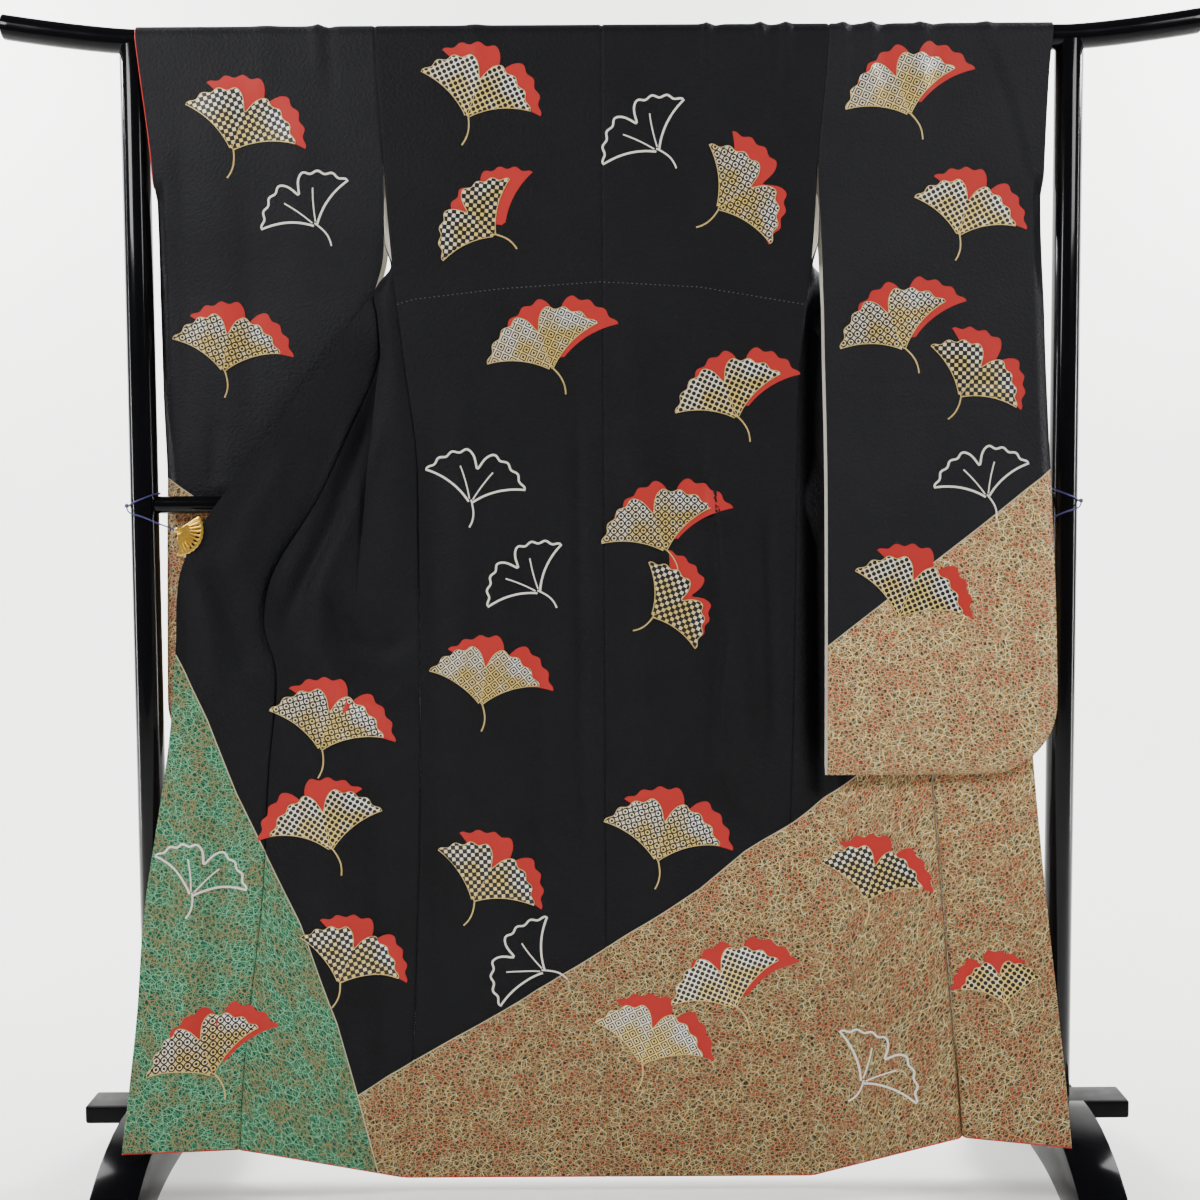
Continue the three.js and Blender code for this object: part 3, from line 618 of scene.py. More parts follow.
white_lining = plain_silk("white_lining_silk", "#e4dfd3", 0.6, 0.15)
hem_lining = plain_silk("brown_hem_lining_silk", "#4a3527", 0.62, 0.15)
red_edge = plain_silk("red_edge_silk", "#b5190f", 0.55, 0.05)

# %% [markdown]
# Cloth, motifs and threads are meshes made from lists of points. Three small helpers add such a piece,
# select it, and turn its faces outwards.

# %% Helpers for pieces
def only(piece):
    bpy.ops.object.select_all(action="DESELECT")
    piece.select_set(True)
    bpy.context.view_layer.objects.active = piece


def new_piece(name, points, faces, *materials):
    """A selected piece from points in metres and faces."""
    mesh = bpy.data.meshes.new(name)
    mesh.from_pydata(points, [], faces)
    for material in materials:
        mesh.materials.append(material)
    piece = bpy.data.objects.new(name, mesh)
    bpy.context.collection.objects.link(piece)
    only(piece)
    return piece


def mend(piece, weld=0.0):
    """Merges points closer than weld, in metres, and turns all faces outwards."""
    only(piece)
    bpy.ops.object.mode_set(mode="EDIT")
    bpy.ops.mesh.select_all(action="SELECT")
    if weld:
        bpy.ops.mesh.remove_doubles(threshold=weld)
    bpy.ops.mesh.normals_make_consistent(inside=False)
    bpy.ops.object.mode_set(mode="OBJECT")


print("piece helpers ready")

# %% [markdown]
# Each panel is a closed thin wall: the grid is its lining side, and the crepe side lies 1.6 mm further out.
# The borders of the dyed grounds are lines across the hanging garment. Each point keeps its distance to
# them.

# %% Sewing grids into cloth
BORDERS = {
    "body": (
        [(-430, 112), (-361, 151), (-155, 268), (-46, 332), (63, 400),
         (135, 446), (200, 500), (268, 540), (358, 607), (565, 740)],
        [(-608, 790), (-566, 696), (-527, 590), (-439, 400), (-386, 259), (-358, 150), (-326, 20)],
    ),
    "sleeve right": ([(300, 785), (633, 1046), (700, 1099)], None),
    "sleeve left": ([(-700, 1088), (-632, 1040), (-442, 905), (-280, 791)], None),
}
HEM_LINING_TOP = 560


def distance_to_border(points, line):
    if line is None:
        return np.full(len(points), -1.0)
    away, side, _ = beside(points[:, 0], points[:, 2], line)
    return away * side / 1000


def cloth(name, inside, out, flat, borders, thick=CLOTH, red_ends=(), down=None):
    """A closed wall of cloth on a grid of lining-side points, in millimetres."""
    rows, cols = inside.shape[:2]
    outside = inside + out * thick
    points = np.concatenate([inside.reshape(-1, 3), outside.reshape(-1, 3)])
    number = np.arange(rows * cols).reshape(rows, cols)
    a, b, c, d = (number[:-1, :-1], number[1:, :-1], number[1:, 1:], number[:-1, 1:])
    inner = np.stack([a, b, c, d], axis=-1).reshape(-1, 4)
    half = rows * cols
    outer = inner[:, ::-1] + half
    rim = []
    sides = ((number[:, 0], True), (number[:, -1], False), (number[0], False), (number[-1], True))
    for line, forward in sides:
        quad = np.stack([line[:-1], line[:-1] + half, line[1:] + half, line[1:]], axis=-1)
        rim.append(quad if forward else quad[:, ::-1])
    faces = np.concatenate([inner, outer, *rim])
    middle = points[faces[len(inner) + len(inner) // 2]]
    facing = np.cross(middle[1] - middle[0], middle[2] - middle[0])
    if facing @ out.reshape(-1, 3)[len(inner) // 2 % half] < 0:
        faces = faces[:, ::-1]
    black_crepe, dyed_crepe = CREPES["sleeve" if name.startswith("sleeve") else "body"]
    silks = (black_crepe, white_lining, hem_lining, red_edge, dyed_crepe)
    piece = new_piece(name, (points / 1000).tolist(), faces.tolist(), *silks)
    mesh = piece.data
    # The hem lining is cut across the panel, so whole rows of cloth take it, by their height at the side seam
    rise = inside[:, -1, 2] if down is None else SHOULDER - down
    kinds = np.zeros(len(faces), dtype=np.int32)
    kinds[: len(inner)] = np.repeat(np.where(rise[:-1] < HEM_LINING_TOP, 2, 1), cols - 1)
    start = 2 * len(inner) + 2 * (rows - 1)
    for end in red_ends:
        kinds[start + end * (cols - 1) : start + (end + 1) * (cols - 1)] = 3
    uv = np.concatenate([flat.reshape(-1, 2)] * 2)
    layer = mesh.uv_layers.new(name="flat")
    corners = np.empty(len(mesh.loops), dtype=np.int32)
    mesh.loops.foreach_get("vertex_index", corners)
    layer.data.foreach_set("uv", uv[corners].astype(np.float32).ravel())
    nearest = np.full(len(points), -1.0)
    for attribute, line in zip(("brown", "green"), borders):
        away = distance_to_border(points, line)
        nearest = np.maximum(nearest, away)
        store = mesh.attributes.new(attribute, "FLOAT", "POINT")
        store.data.foreach_set("value", away.astype(np.float32))
    # Faces with dye on them, or nearer to it than 4 mm, take the dyed crepe, the others the plain one
    kinds[(kinds == 0) & (nearest[faces].max(axis=1) > -0.004)] = 4
    mesh.polygons.foreach_set("material_index", kinds)
    mesh.validate()
    bpy.ops.object.shade_smooth_by_angle(angle=math.radians(50))
    diagonals = np.cross(inside[1:, 1:] - inside[:-1, :-1], inside[1:, :-1] - inside[:-1, 1:])
    area = np.linalg.norm(diagonals, axis=-1).sum() / 2e6
    print(name, len(faces), "faces", round(area, 3), "square metres")
    return piece


# %% [markdown]
# Each body panel is one length of cloth: up the back, over the rail and down the front. Its side edge
# swings from the far side at the shoulder to the viewer's side below the armpit opening, because the front
# is pulled open. The overlap panel is sewn to the front, and its outer edge is the garment's front edge.

# %% Body panels and overlap panels
heights = np.linspace(HEM, RAIL_HEIGHT, 244)
degrees = np.linspace(180, 0, 15)[1:-1]
lengths = np.linspace(SHOULDER - RAIL_HEIGHT, SHOULDER - HEM, 300)
cells, EDGES = {}, {}
for side in ("left", "right"):
    sign = SIGN[side]
    seam, edge, outer = front_lines(side, lengths)
    border = follow(STRIP, 1, lengths)[:, None] if side == "left" else np.full((len(lengths), 1), 0.63)
    before, within = crowd(TO_STRIP)[None, :], crowd(IN_STRIP)[None, 1:]
    banded = np.concatenate([border * before, border + (1 - border) * within], axis=1)
    change = ease((lengths - lengths[0]) / 250)[:, None]
    share = plain + (banded - plain) * change
    front = seam[:, None] + (outer - seam)[:, None] * share[..., None]
    back, ridge = back_points(side, heights), ridge_points(side, degrees)
    body = np.concatenate([back, ridge, front])
    out = outward(body, -sign)
    first_front = len(back) + len(ridge)

    # Folds of the back and of the near half of the ridge
    near = slice(0, len(back) + 7)
    lift = raised(FOLDS["back"], body[near][..., 0], body[near][..., 2])
    body[near] += out[near] * lift[..., None]
    body[: len(back), :, 1] = np.minimum(body[: len(back), :, 1], -17.6)

    # Folds of the front, below the armpit
    opened = ease((lengths - 350) / 80)[:, None]
    width = np.linalg.norm(outer - seam, axis=1)[:, None]
    lift = raised(FOLDS["front " + side], front[..., 0], front[..., 2]) * opened
    panel = crowd(OVERLAP_CELLS)[None, :, None]
    wide = edge[:, None] + (seam - edge)[:, None] * panel
    wide_lift = raised(FOLDS["front " + side], wide[..., 0], wide[..., 2]) * opened
    reach = np.linalg.norm(seam - edge, axis=1)[:, None] * (1 - panel[..., 0])
    if side == "left":
        strong = (ease((lengths - 300) / 60) * (1 - ease((lengths - 660) / 240)))[:, None]
        deep = (ease((lengths - 345) / 50) * (1 - ease((lengths - 560) / 260)))[:, None]
        column = np.arange(share.shape[1])[None, :]
        inner_share = np.clip((share - border) / (1 - border), 0, 1)
        strip = strong * (5 * (1 - inner_share) + 6.5 * np.sin(np.pi * inner_share))
        beyond = -deep * 13 * np.exp(-(border - share) * width / 24)
        lift = lift + np.where(column >= TO_STRIP, strip, beyond)
        tuck = (ease((lengths - 430) / 90) * (1 - 0.85 * ease((lengths - 880) / 220)))[:, None]
        raise_body = np.where(column == 0, -7.0, 6.0 * np.exp(-share * width / 20))
        lift = lift + tuck * np.where(column < TO_STRIP, raise_body, 0)
        wide_lift = wide_lift - tuck * 7 * np.exp(-reach / 26)
    else:
        valley = 7 * ease((lengths - 780) / 160)[:, None]
        lift = lift - valley * np.exp(-((share * width / 3.2) ** 2))
        wide_lift = wide_lift - valley * np.exp(-((reach / 3.2) ** 2))
    lift[:, -1] = 0
    body[first_front:, :, 1] -= lift
    wide[..., 1] -= wide_lift
    for part in (body[first_front:], wide):  # the fronts hang on the viewer's side of the middle rail
        limit = -13.6 + 0.35 * np.maximum(0, np.abs(part[..., 2] - MIDDLE_RAIL) - 12)
        part[..., 1] = np.minimum(part[..., 1], limit)

    wide_out = outward(wide, -sign)
    flat = flat_map(body, sign, (0.0, 0.37 * sign))
    everywhere = slice(0, len(body))
    body = rolled(body, out, [(0, slice(0, len(back) + 7)), (-1, everywhere)])
    body[first_front:] = rolled(body[first_front:], out[first_front:], [(0, slice(70, len(lengths)))])
    name = f"body_{side}"
    cells[name] = cloth(name + "_cloth", body, out, flat, BORDERS["body"], red_ends=(0, 1))
    below = np.array([0, 0, -0.9])
    EDGES[name] = [body[row] + out[row] * CLOTH / 2 + below for row in (0, -1)]

    start = int(np.searchsorted(lengths, 385))
    wide, wide_out = wide[start:], wide_out[start:]
    flat = flat_map(wide, sign, (0.5 * sign, 0.3))
    wide = rolled(wide, wide_out, [(-1, slice(0, len(wide)))])
    name = f"overlap_{side}"
    cells[name] = cloth(
        name + "_cloth", wide, wide_out, flat, BORDERS["body"], red_ends=(1,), down=lengths[start:]
    )
    EDGES[name] = [wide[-1] + wide_out[-1] * CLOTH / 2 + below]

# %% [markdown]
# The collar is a straight band of double cloth. It lies behind each front edge from the clips up to the
# neck, and meets at the middle of the back. It is crepe on both sides.

# %% Collar
across = np.linspace(0, 1, 15)


def collar_points(side, lengths):
    sign = SIGN[side]
    seam, edge, _ = front_lines(side, lengths)
    apart = np.maximum(np.linalg.norm(seam - edge, axis=1), COLLAR)
    slant = (seam[:, 1] - edge[:, 1]) / apart
    open_part = lengths > 330
    lift = np.where(open_part, slant * COLLAR + 3, 1)[:, None]
    first = np.where(open_part, 1.3, 0.5)[:, None]
    x = edge[:, [0]] - sign * (0.3 + 0.805 * COLLAR * across)
    return stack(x, edge[:, [1]] + first + lift * across, edge[:, [2]] - 0.593 * COLLAR * across)


def neck_points(share):
    start = np.radians(60 * (1 - np.abs(share)) - 3)[:, None]
    arc = np.maximum(0, start) * OVER_RAIL
    down = across * COLLAR
    angle = np.maximum(0, start - down / OVER_RAIL)
    x = share[:, None] * (NECK + (NECK_FREE - NECK) * across)
    y = OVER_RAIL * np.cos(angle) + 0.4 * across
    return stack(x, y, RAIL_HEIGHT + OVER_RAIL * np.sin(angle) - np.maximum(0, down - arc))


down_band = np.linspace(832, 62, 180)
for side in ("left", "right"):
    sign = SIGN[side]
    band = collar_points(side, down_band)
    neck = neck_points(np.linspace(0.97, 0.003, 24) * sign)
    grid = np.concatenate([band, neck])
    out = outward(grid, 1 if side == "left" else -1)
    name = f"collar_{side}"
    cells[name] = cloth(name + "_cloth", grid, out, flat_map(grid), (None, None), thick=2.0)
    polygons = cells[name].data.polygons
    polygons.foreach_set("material_index", np.zeros(len(polygons), dtype=np.int32))

# %% [markdown]
# A sleeve is one length too: from its near lower edge over the rail to its far lower edge. Its two layers
# close along the bottom and the outer edge, up to the wrist opening, and round the outer lower corner.
# Towards the body they stay open, and a line of white lining shows there.

# %% Sleeves
SLEEVE_BOTTOM, SLEEVE_CORNER, WRIST_OPEN = 613, 102, 1443
sleeve_share = crowd(58, 0.8)
rows = np.concatenate([np.linspace(0, 0.02, 9)[:-1], np.linspace(0.02, 1, 190)])
low = SLEEVE_BOTTOM + (RAIL_HEIGHT - SLEEVE_BOTTOM) * rows


def sleeve_points(side, height, far):
    sign = SIGN[side]
    free, outer, near, deep = (follow(SLEEVE[side], k, height)[:, None] for k in (1, 2, 3, 4))
    height = height[:, None]
    joined = follow(BACK, BACK_EDGE[side], height)
    inner = np.where(height < ARMHOLE_TOP, free, joined)
    if far:
        inner = inner - sign * 2.6 * ease((1470 - height) / 120)
    reach = np.maximum(0, SLEEVE_BOTTOM + SLEEVE_CORNER - height)
    corner = SLEEVE_CORNER - np.sqrt(np.maximum(0, SLEEVE_CORNER**2 - reach**2))
    x = inner + (outer - sign * corner - inner) * sleeve_share
    to_edge = np.minimum(height - SLEEVE_BOTTOM, np.abs(outer - sign * corner - x))
    apart = np.maximum(ease(to_edge / 16), ease((height - WRIST_OPEN + 18) / 36))
    middle, half = (near + deep) / 2, 0.25 + (deep - near) / 2 * apart
    lift = raised(FOLDS["far" if far else "sleeve " + side], x, height + 0 * x)
    calm = ease((height - SLEEVE_BOTTOM) / 60) * ease(np.abs(outer - x) / 40)
    lift = lift * calm * ease(np.abs(inner - x) / 40 + (height > 1500))
    return stack(x, middle + half + lift if far else middle - half - lift, height)


for side in ("left", "right"):
    sign = SIGN[side]
    near, far = sleeve_points(side, low, False), sleeve_points(side, low, True)
    angle = np.radians(degrees)[:, None]
    z = RAIL_HEIGHT + OVER_RAIL * np.sin(angle)
    top = sleeve_points(side, z[:, 0], False)
    lift = raised(FOLDS["sleeve " + side], top[..., 0], z + 0 * top[..., 0]) * (angle > math.pi / 3)
    over = OVER_RAIL + lift
    top = stack(top[..., 0], over * np.cos(angle), RAIL_HEIGHT + over * np.sin(angle))
    grid = np.concatenate([near, top, far[::-1]])
    out = outward(grid, -sign)
    flat = flat_map(grid, sign, (0.8 * sign, 0.6))
    joined = (grid[:, 0, 2] > ARMHOLE_TOP).nonzero()[0]
    grid = rolled(grid, out, [(0, slice(joined[0], joined[-1] + 1))])
    name = f"sleeve_{side}"
    cells[name] = cloth(name + "_cloth", grid, out, flat, BORDERS["sleeve " + side])
    mouth = (grid[:, -1, 2] > WRIST_OPEN).nonzero()[0]
    tucked = -1.6 if side == "right" else 0.4
    mouth_edge = grid[:, -1] + out[:, -1] * (CLOTH / 2 - max(0, -tucked)) + np.array([sign * tucked, 0, 0])
    EDGES[name] = [mouth_edge[mouth[0] : mouth[-1] + 1]]

# %% [markdown]
# Ginkgo leaves fall over the cloth. On such a garment each leaf is masked and dyed red, printed with gold
# and silver foil in small repeats, and edged with couched thread. A leaf is laid out flat here, as a fan of
# points round its foot. Each point is then pressed on the hanging cloth along the line of sight, so the
# leaf follows the folds. A red twin lies under each leaf, a little to one side. Some leaves are only drawn
# in pale thread.

# %% Where the leaves fall
LEAVES = [  # x, z of the foot, size, turn in degrees, pattern 0 to 3 or 4 for a drawn one, twin's shift x, z
    [-190, 1540, 88, 20, 0, 13, 15],
    [80, 1492, 78, -38, 4, 0, 0],
    [160, 1412, 88, 58, 1, 10, 17],
    [-150, 1376, 80, -50, 2, 13, 15],
    [-72, 1188, 90, -20, 3, 14, 15],
    [190, 1118, 86, -20, 0, 13, 15],
    [-190, 1000, 78, 12, 4, 0, 0],
    [88, 930, 90, -18, 1, 14, 15],
    [66, 838, 76, 62, 2, 9, 17],
    [-92, 872, 74, -40, 4, 0, 0],
    [-178, 712, 86, 8, 3, 14, 14],
    [72, 486, 92, 12, 1, 14, 15],
    [-192, 430, 86, 30, 2, 13, 15],
    [-88, 326, 78, -62, 4, 0, 0],
    [48, 190, 88, 18, 3, 14, 15],
    [186, 272, 90, -22, 0, 14, 14],
    [-408, 648, 90, 14, 1, 13, 15],
    [-392, 506, 88, -12, 0, -13, 15],
    [-384, 316, 82, 24, 2, 12, 14],
    [-590, 446, 74, 22, 4, 0, 0],
    [-556, 196, 84, -20, 1, 13, 15],
    [372, 430, 80, 14, 2, 12, 14],
    [564, 290, 60, -10, 0, -11, 12],
    [364, 168, 76, 42, 4, 0, 0],
    [-520, 1496, 88, 20, 2, 13, 15],
    [-404, 1392, 76, -28, 4, 0, 0],
    [-545, 1190, 84, 8, 1, 13, 15],
    [432, 1540, 88, -20, 3, 13, 15],
    [500, 1372, 80, 16, 0, 13, 15],
    [424, 1212, 88, -24, 1, 13, 15],
    [500, 1146, 80, 36, 2, 11, 16],
    [540, 1004, 74, -14, 4, 0, 0],
    [414, 836, 88, 22, 0, 13, 15],
]
FAR_LEAVES = [
    [-470, 1180, 108, 30, 0, -14, 16],
    [-486, 770, 92, -16, 2, -14, 16],
    [480, 1330, 92, -16, 1, -14, 16],
]
LEAF_ROWS, LEAF_COLUMNS = 23, 57  # points of a leaf from foot to edge and across


def leaf_place(share, reach):
    """Point of a leaf of size 1. share runs from -1 to 1 across it, reach from 0 at its foot to 1."""
    share, reach = np.broadcast_arrays(share, reach)
    angle = np.radians(64) * share * (0.66 + 0.34 * reach)
    notch = 1 - 0.34 * np.exp(-((share / 0.09) ** 2))
    edge = notch * (0.96 + 0.025 * np.cos(share * 26) + 0.05 * np.abs(share))
    return np.stack([reach * edge * np.sin(angle), reach * edge * np.cos(angle)], axis=-1)


class Press:
    """Presses flat points on the cloth, from the viewer's side or from behind."""

    def __init__(self, pieces, facing):
        corners, quads, start = [], [], 0
        for piece in pieces:
            mesh = piece.data
            co = np.empty(len(mesh.vertices) * 3)
            mesh.vertices.foreach_get("co", co)
            normal = np.empty(len(mesh.polygons) * 3)
            mesh.polygons.foreach_get("normal", normal)
            index = np.empty(len(mesh.loops), dtype=np.int32)
            mesh.loops.foreach_get("vertex_index", index)
            keep = normal.reshape(-1, 3)[:, 1] * facing > 0.15
            quads.append(index.reshape(-1, 4)[keep] + start)
            corners.append(co.reshape(-1, 3))
            start += len(mesh.vertices)
        self.facing = facing
        self.tree = BVHTree.FromPolygons(np.concatenate(corners).tolist(), np.concatenate(quads).tolist())

    def __call__(self, flat, height, rows):
        """Points in metres, at a height in millimetres above the cloth. Narrow grooves are bridged."""
        ray = Vector((0, -self.facing, 0))
        depth = []
        for x, z in flat:
            place = self.tree.ray_cast(Vector((x, self.facing * 0.6, z)), ray)[0]
            depth.append(place.y * self.facing if place else math.nan)
        depth = np.array(depth)
        if np.isnan(depth).any():
            return None
        grid = depth.reshape(rows, -1)
        for _ in range(4):
            padded = np.pad(grid, 1, mode="edge")
            down = (padded[:-2, 1:-1] + padded[2:, 1:-1]) / 2
            across = (padded[1:-1, :-2] + padded[1:-1, 2:]) / 2 if grid.shape[1] > 4 else down
            grid = np.maximum(grid, np.maximum(down, across) - 0.00003)
        y = (grid.ravel() + np.asarray(height) / 1000) * self.facing
        return np.stack([flat[:, 0], y, flat[:, 1]], axis=-1).tolist()


class Patches:
    """Collects closed thin patches into one mesh."""

    def __init__(self):
        self.points, self.faces, self.uv, self.kind = [], [], [], []

    def add(self, grids, faces, uv, kind=0.0):
        if grids is None:
            print("a leaf reaches past the cloth")
            return
        start = len(self.points)
        self.points += grids
        self.faces += [[start + k for k in face] for face in faces]
        self.uv += uv
        self.kind += [kind] * len(grids)

    def piece(self, name, material):
        made = new_piece(name, self.points, self.faces, material)
        mesh = made.data
        layer = mesh.uv_layers.new(name="flat")
        for loop in mesh.loops:
            layer.data[loop.index].uv = self.uv[loop.vertex_index]
        mesh.attributes.new("pattern", "FLOAT", "POINT").data.foreach_set("value", self.kind)
        mend(made)
        print(name, len(mesh.polygons), "faces")
        return made


def wall_faces(rows, cols):
    """Faces of a closed wall between a grid of points and the same grid below it."""
    top = np.arange(rows * cols).reshape(rows, cols)
    low = top + rows * cols
    faces = []
    for sheet, turned in ((top, 1), (low, -1)):
        quads = np.stack([sheet[:-1, :-1], sheet[1:, :-1], sheet[1:, 1:], sheet[:-1, 1:]], axis=-1)
        faces += quads.reshape(-1, 4)[:, ::turned].tolist()
    ring = np.concatenate([top[0], top[1:, -1], top[-1, -2::-1], top[-2:0:-1, 0]])
    for a, b in zip(ring, np.roll(ring, -1)):
        faces.append([int(a), int(b), int(b) + rows * cols, int(a) + rows * cols])
    return faces


def laid(local, leaf, shift=(0, 0)):
    """Turns a leaf's own points to their place on the picture plane, in metres."""
    x, z, size, turned = leaf[:4]
    angle = -math.radians(turned)
    spin = np.array([[math.cos(angle), math.sin(angle)], [-math.sin(angle), math.cos(angle)]])
    return (local * size) @ spin / 1000 + (np.array([x, z]) + shift) / 1000


def ribbon(group, press, line, width, low, high):
    """A raised thread along a line of points in metres."""
    along = np.gradient(line, axis=0)
    along /= np.maximum(np.linalg.norm(along, axis=1, keepdims=True), 1e-9)
    side = np.stack([-along[:, 1], along[:, 0]], axis=1) * width / 2000
    flat = np.stack([line - side, line - side * 0.5, line + side * 0.5, line + side], axis=1)
    height = np.tile([low, high, high, low], len(line))
    count = len(line)
    faces = []
    for k in range(count - 1):
        for j in range(4):
            a, b = 4 * k + j, 4 * k + (j + 1) % 4
            faces.append([a, b, b + 4, a + 4])
    faces += [[0, 1, 2, 3], [4 * count - 4 + j for j in (3, 2, 1, 0)]]
    group.add(press(flat.reshape(-1, 2), height, count), faces, flat.reshape(-1, 2).tolist())


def draw_leaf(groups, press, leaf):
    pattern, shift = leaf[4], np.array(leaf[5:7], float)
    edge = np.concatenate(
        [
            leaf_place(-1.0, np.linspace(0.05, 1, 16)),
            leaf_place(np.linspace(-1, 1, 74)[1:-1], 1.0),
            leaf_place(1.0, np.linspace(1, 0.05, 16)),
        ]
    )
    t = np.linspace(0, 1, 16)
    stem = np.stack([0.1 * np.sin(t * 2.4), 0.08 - 0.5 * t], axis=-1)
    if pattern == 4:
        for line, width in ((edge, 3.0), (stem, 2.4)):
            ribbon(groups["pale"], press, laid(line, leaf), width, 0.1, 0.5)
        for share in (-0.45, 0.42):
            vein = leaf_place(share, np.linspace(0.1, 0.72, 12))
            ribbon(groups["pale"], press, laid(vein, leaf), 2.0, 0.1, 0.45)
        return
    share, reach = np.linspace(-1, 1, LEAF_COLUMNS)[None, :], np.linspace(0.05, 1, LEAF_ROWS)[:, None]
    local = leaf_place(share, reach)
    faces = wall_faces(LEAF_ROWS, LEAF_COLUMNS)
    layers = (("red", 14, 1.02, shift, 0.1, 0.35), ("foil", 0, 1, 0 * shift, 0.75, 1.0))
    for group, turn, scale, move, low, high in layers:
        own = leaf[:2] + [leaf[2] * scale, leaf[3] + turn * (1 if shift[0] > 0 else -1)]
        flat = laid(local, own, move).reshape(-1, 2)
        upper, lower = (press(flat, height, LEAF_ROWS) for height in (high, low))
        uv = (local.reshape(-1, 2) * leaf[2] / 1000).tolist() * 2
        groups[group].add(upper and upper + lower, faces, uv, float(pattern))
    ribbon(groups["gold"], press, laid(edge, leaf), 1.5, 0.7, 1.35)
    ribbon(groups["gold"], press, laid(stem, leaf), 2.2, 0.1, 0.7)
    ribbon(groups["gold"], press, laid(leaf_place(0.0, np.linspace(0.05, 0.62, 10)), leaf), 1.2, 0.9, 1.3)


# %% [markdown]
# The foil shows four small repeats: rings on a square lattice, waves, a hemp star lattice and a basket
# weave. Each repeat is 7 to 11 mm. The foil runs from gold at the foot to silver at the edge, and black
# cloth shows between its lines.

# %% Foil, red dye and threads
foil, tree, shader = finish("gold_and_silver_foil", {"Roughness": 0.42})
flat = node(tree, "UVMap", uv_map="flat").outputs[0]
which = node(tree, "Attribute", attribute_name="pattern").outputs["Fac"]


def repeat_mask(kind, scale, turned, low, high, **options):
    placed = node(tree, "Mapping", {"Vector": flat, "Rotation": (0, 0, turned)}).outputs[0]
    lattice = {"Vector": placed, "Scale": scale, "Randomness": 0.0}
    cell = node(tree, "TexVoronoi", lattice, voronoi_dimensions="2D", **options)
    rings = node(tree, "Math", {0: cell.outputs["Distance"], 1: kind}, operation="MULTIPLY").outputs[0]
    wave = node(tree, "Math", {0: rings}, operation="FRACT").outputs[0]
    return node(tree, "MapRange", {"Value": wave, 1: low, 2: high}).outputs[0]


masks = [
    repeat_mask(1.0, 140, 0.785, 0.38, 0.44),
    repeat_mask(3.0, 95, 0.3, 0.52, 0.6),
    repeat_mask(1.0, 125, 0.2, 0.54, 0.6, distance="MANHATTAN"),
    repeat_mask(3.6, 88, 0.785, 0.5, 0.58, distance="CHEBYCHEV"),
]
mask = masks[0]
for number in (1, 2, 3):
    later = node(tree, "Math", {0: which, 1: number - 0.5}, operation="GREATER_THAN").outputs[0]
    mask = node(tree, "Mix", {0: later, 2: mask, 3: masks[number]}).outputs[0]
height = node(tree, "SeparateXYZ", {0: flat}).outputs[1]
cloud = node(tree, "TexNoise", {"Vector": flat, "Scale": 30.0}, noise_dimensions="2D").outputs[0]
mixing = node(tree, "Math", {0: height, 1: 9.0, 2: cloud}, operation="MULTIPLY_ADD").outputs[0]
silvered = node(tree, "MapRange", {"Value": mixing, 1: 0.75, 2: 1.25}).outputs[0]
metals = {0: silvered, 6: shade("#e3c56c"), 7: shade("#f2f0ea")}
metal = node(tree, "Mix", metals, data_type="RGBA").outputs[2]
tone = node(tree, "Mix", {0: mask, 6: shade("#0c0b0e"), 7: metal}, data_type="RGBA").outputs[2]
tree.links.new(tone, shader.inputs["Base Color"])
shine = node(tree, "Math", {0: mask, 1: 0.3}, operation="MULTIPLY").outputs[0]
tree.links.new(shine, shader.inputs["Metallic"])
grain = node(tree, "TexNoise", {"Vector": flat, "Scale": 900.0}, noise_dimensions="2D").outputs[0]
bump = node(tree, "Bump", {"Height": grain, "Strength": 0.4, "Distance": 0.0002})
tree.links.new(bump.outputs[0], shader.inputs["Normal"])


def thread_material(name, colour, rough, metal):
    material, tree, shader = finish(name, {"Roughness": rough, "Metallic": metal})
    place = node(tree, "TexCoord").outputs["Object"]
    strand = node(tree, "TexNoise", {"Vector": place, "Scale": 700.0, "Detail": 1.0}).outputs[0]
    dark = tuple(c * 0.75 for c in shade(colour)[:3]) + (1.0,)
    tone = node(tree, "Mix", {0: strand, 6: dark, 7: shade(colour)}, data_type="RGBA").outputs[2]
    tree.links.new(tone, shader.inputs["Base Color"])
    bump = node(tree, "Bump", {"Height": strand, "Strength": 0.4, "Distance": 0.0002})
    tree.links.new(bump.outputs[0], shader.inputs["Normal"])
    return material


red_dye = thread_material("red_dyed_silk", "#b5150c", 0.65, 0.0)
gold_thread = thread_material("gold_thread", "#dcc07a", 0.45, 0.4)
pale_thread = thread_material("pale_thread", "#ece6da", 0.6, 0.0)
grey_thread = thread_material("grey_thread", "#77777f", 0.7, 0.0)

# %% [markdown]
# The leaves are pressed on the finished cloth, most from the viewer's side and three on the sleeves' far
# sides. All leaves' foil is one piece, and so are their red dye, their gold edges and the pale outlines.

# %% Lay the leaves
bodies = [cells[name] for name in cells]
groups = {name: Patches() for name in ("foil", "red", "gold", "pale")}
front_press, far_press = Press(bodies, -1), Press(bodies, 1)
for leaf in LEAVES:
    draw_leaf(groups, front_press, leaf)
for leaf in FAR_LEAVES:
    draw_leaf(groups, far_press, leaf)
motifs = {
    "foil": groups["foil"].piece("leaves_foil", foil),
    "red": groups["red"].piece("leaves_red", red_dye),
    "gold": groups["gold"].piece("leaf_edges_gold_thread", gold_thread),
    "pale": groups["pale"].piece("drawn_leaves_pale_thread", pale_thread),
}

# %% [markdown]
# Red piping edges the hems and the sleeve mouths. A row of running stitches crosses the back just above the
# waist, where a tuck takes up spare length. Each stitch is a small raised thread, 2 mm long.

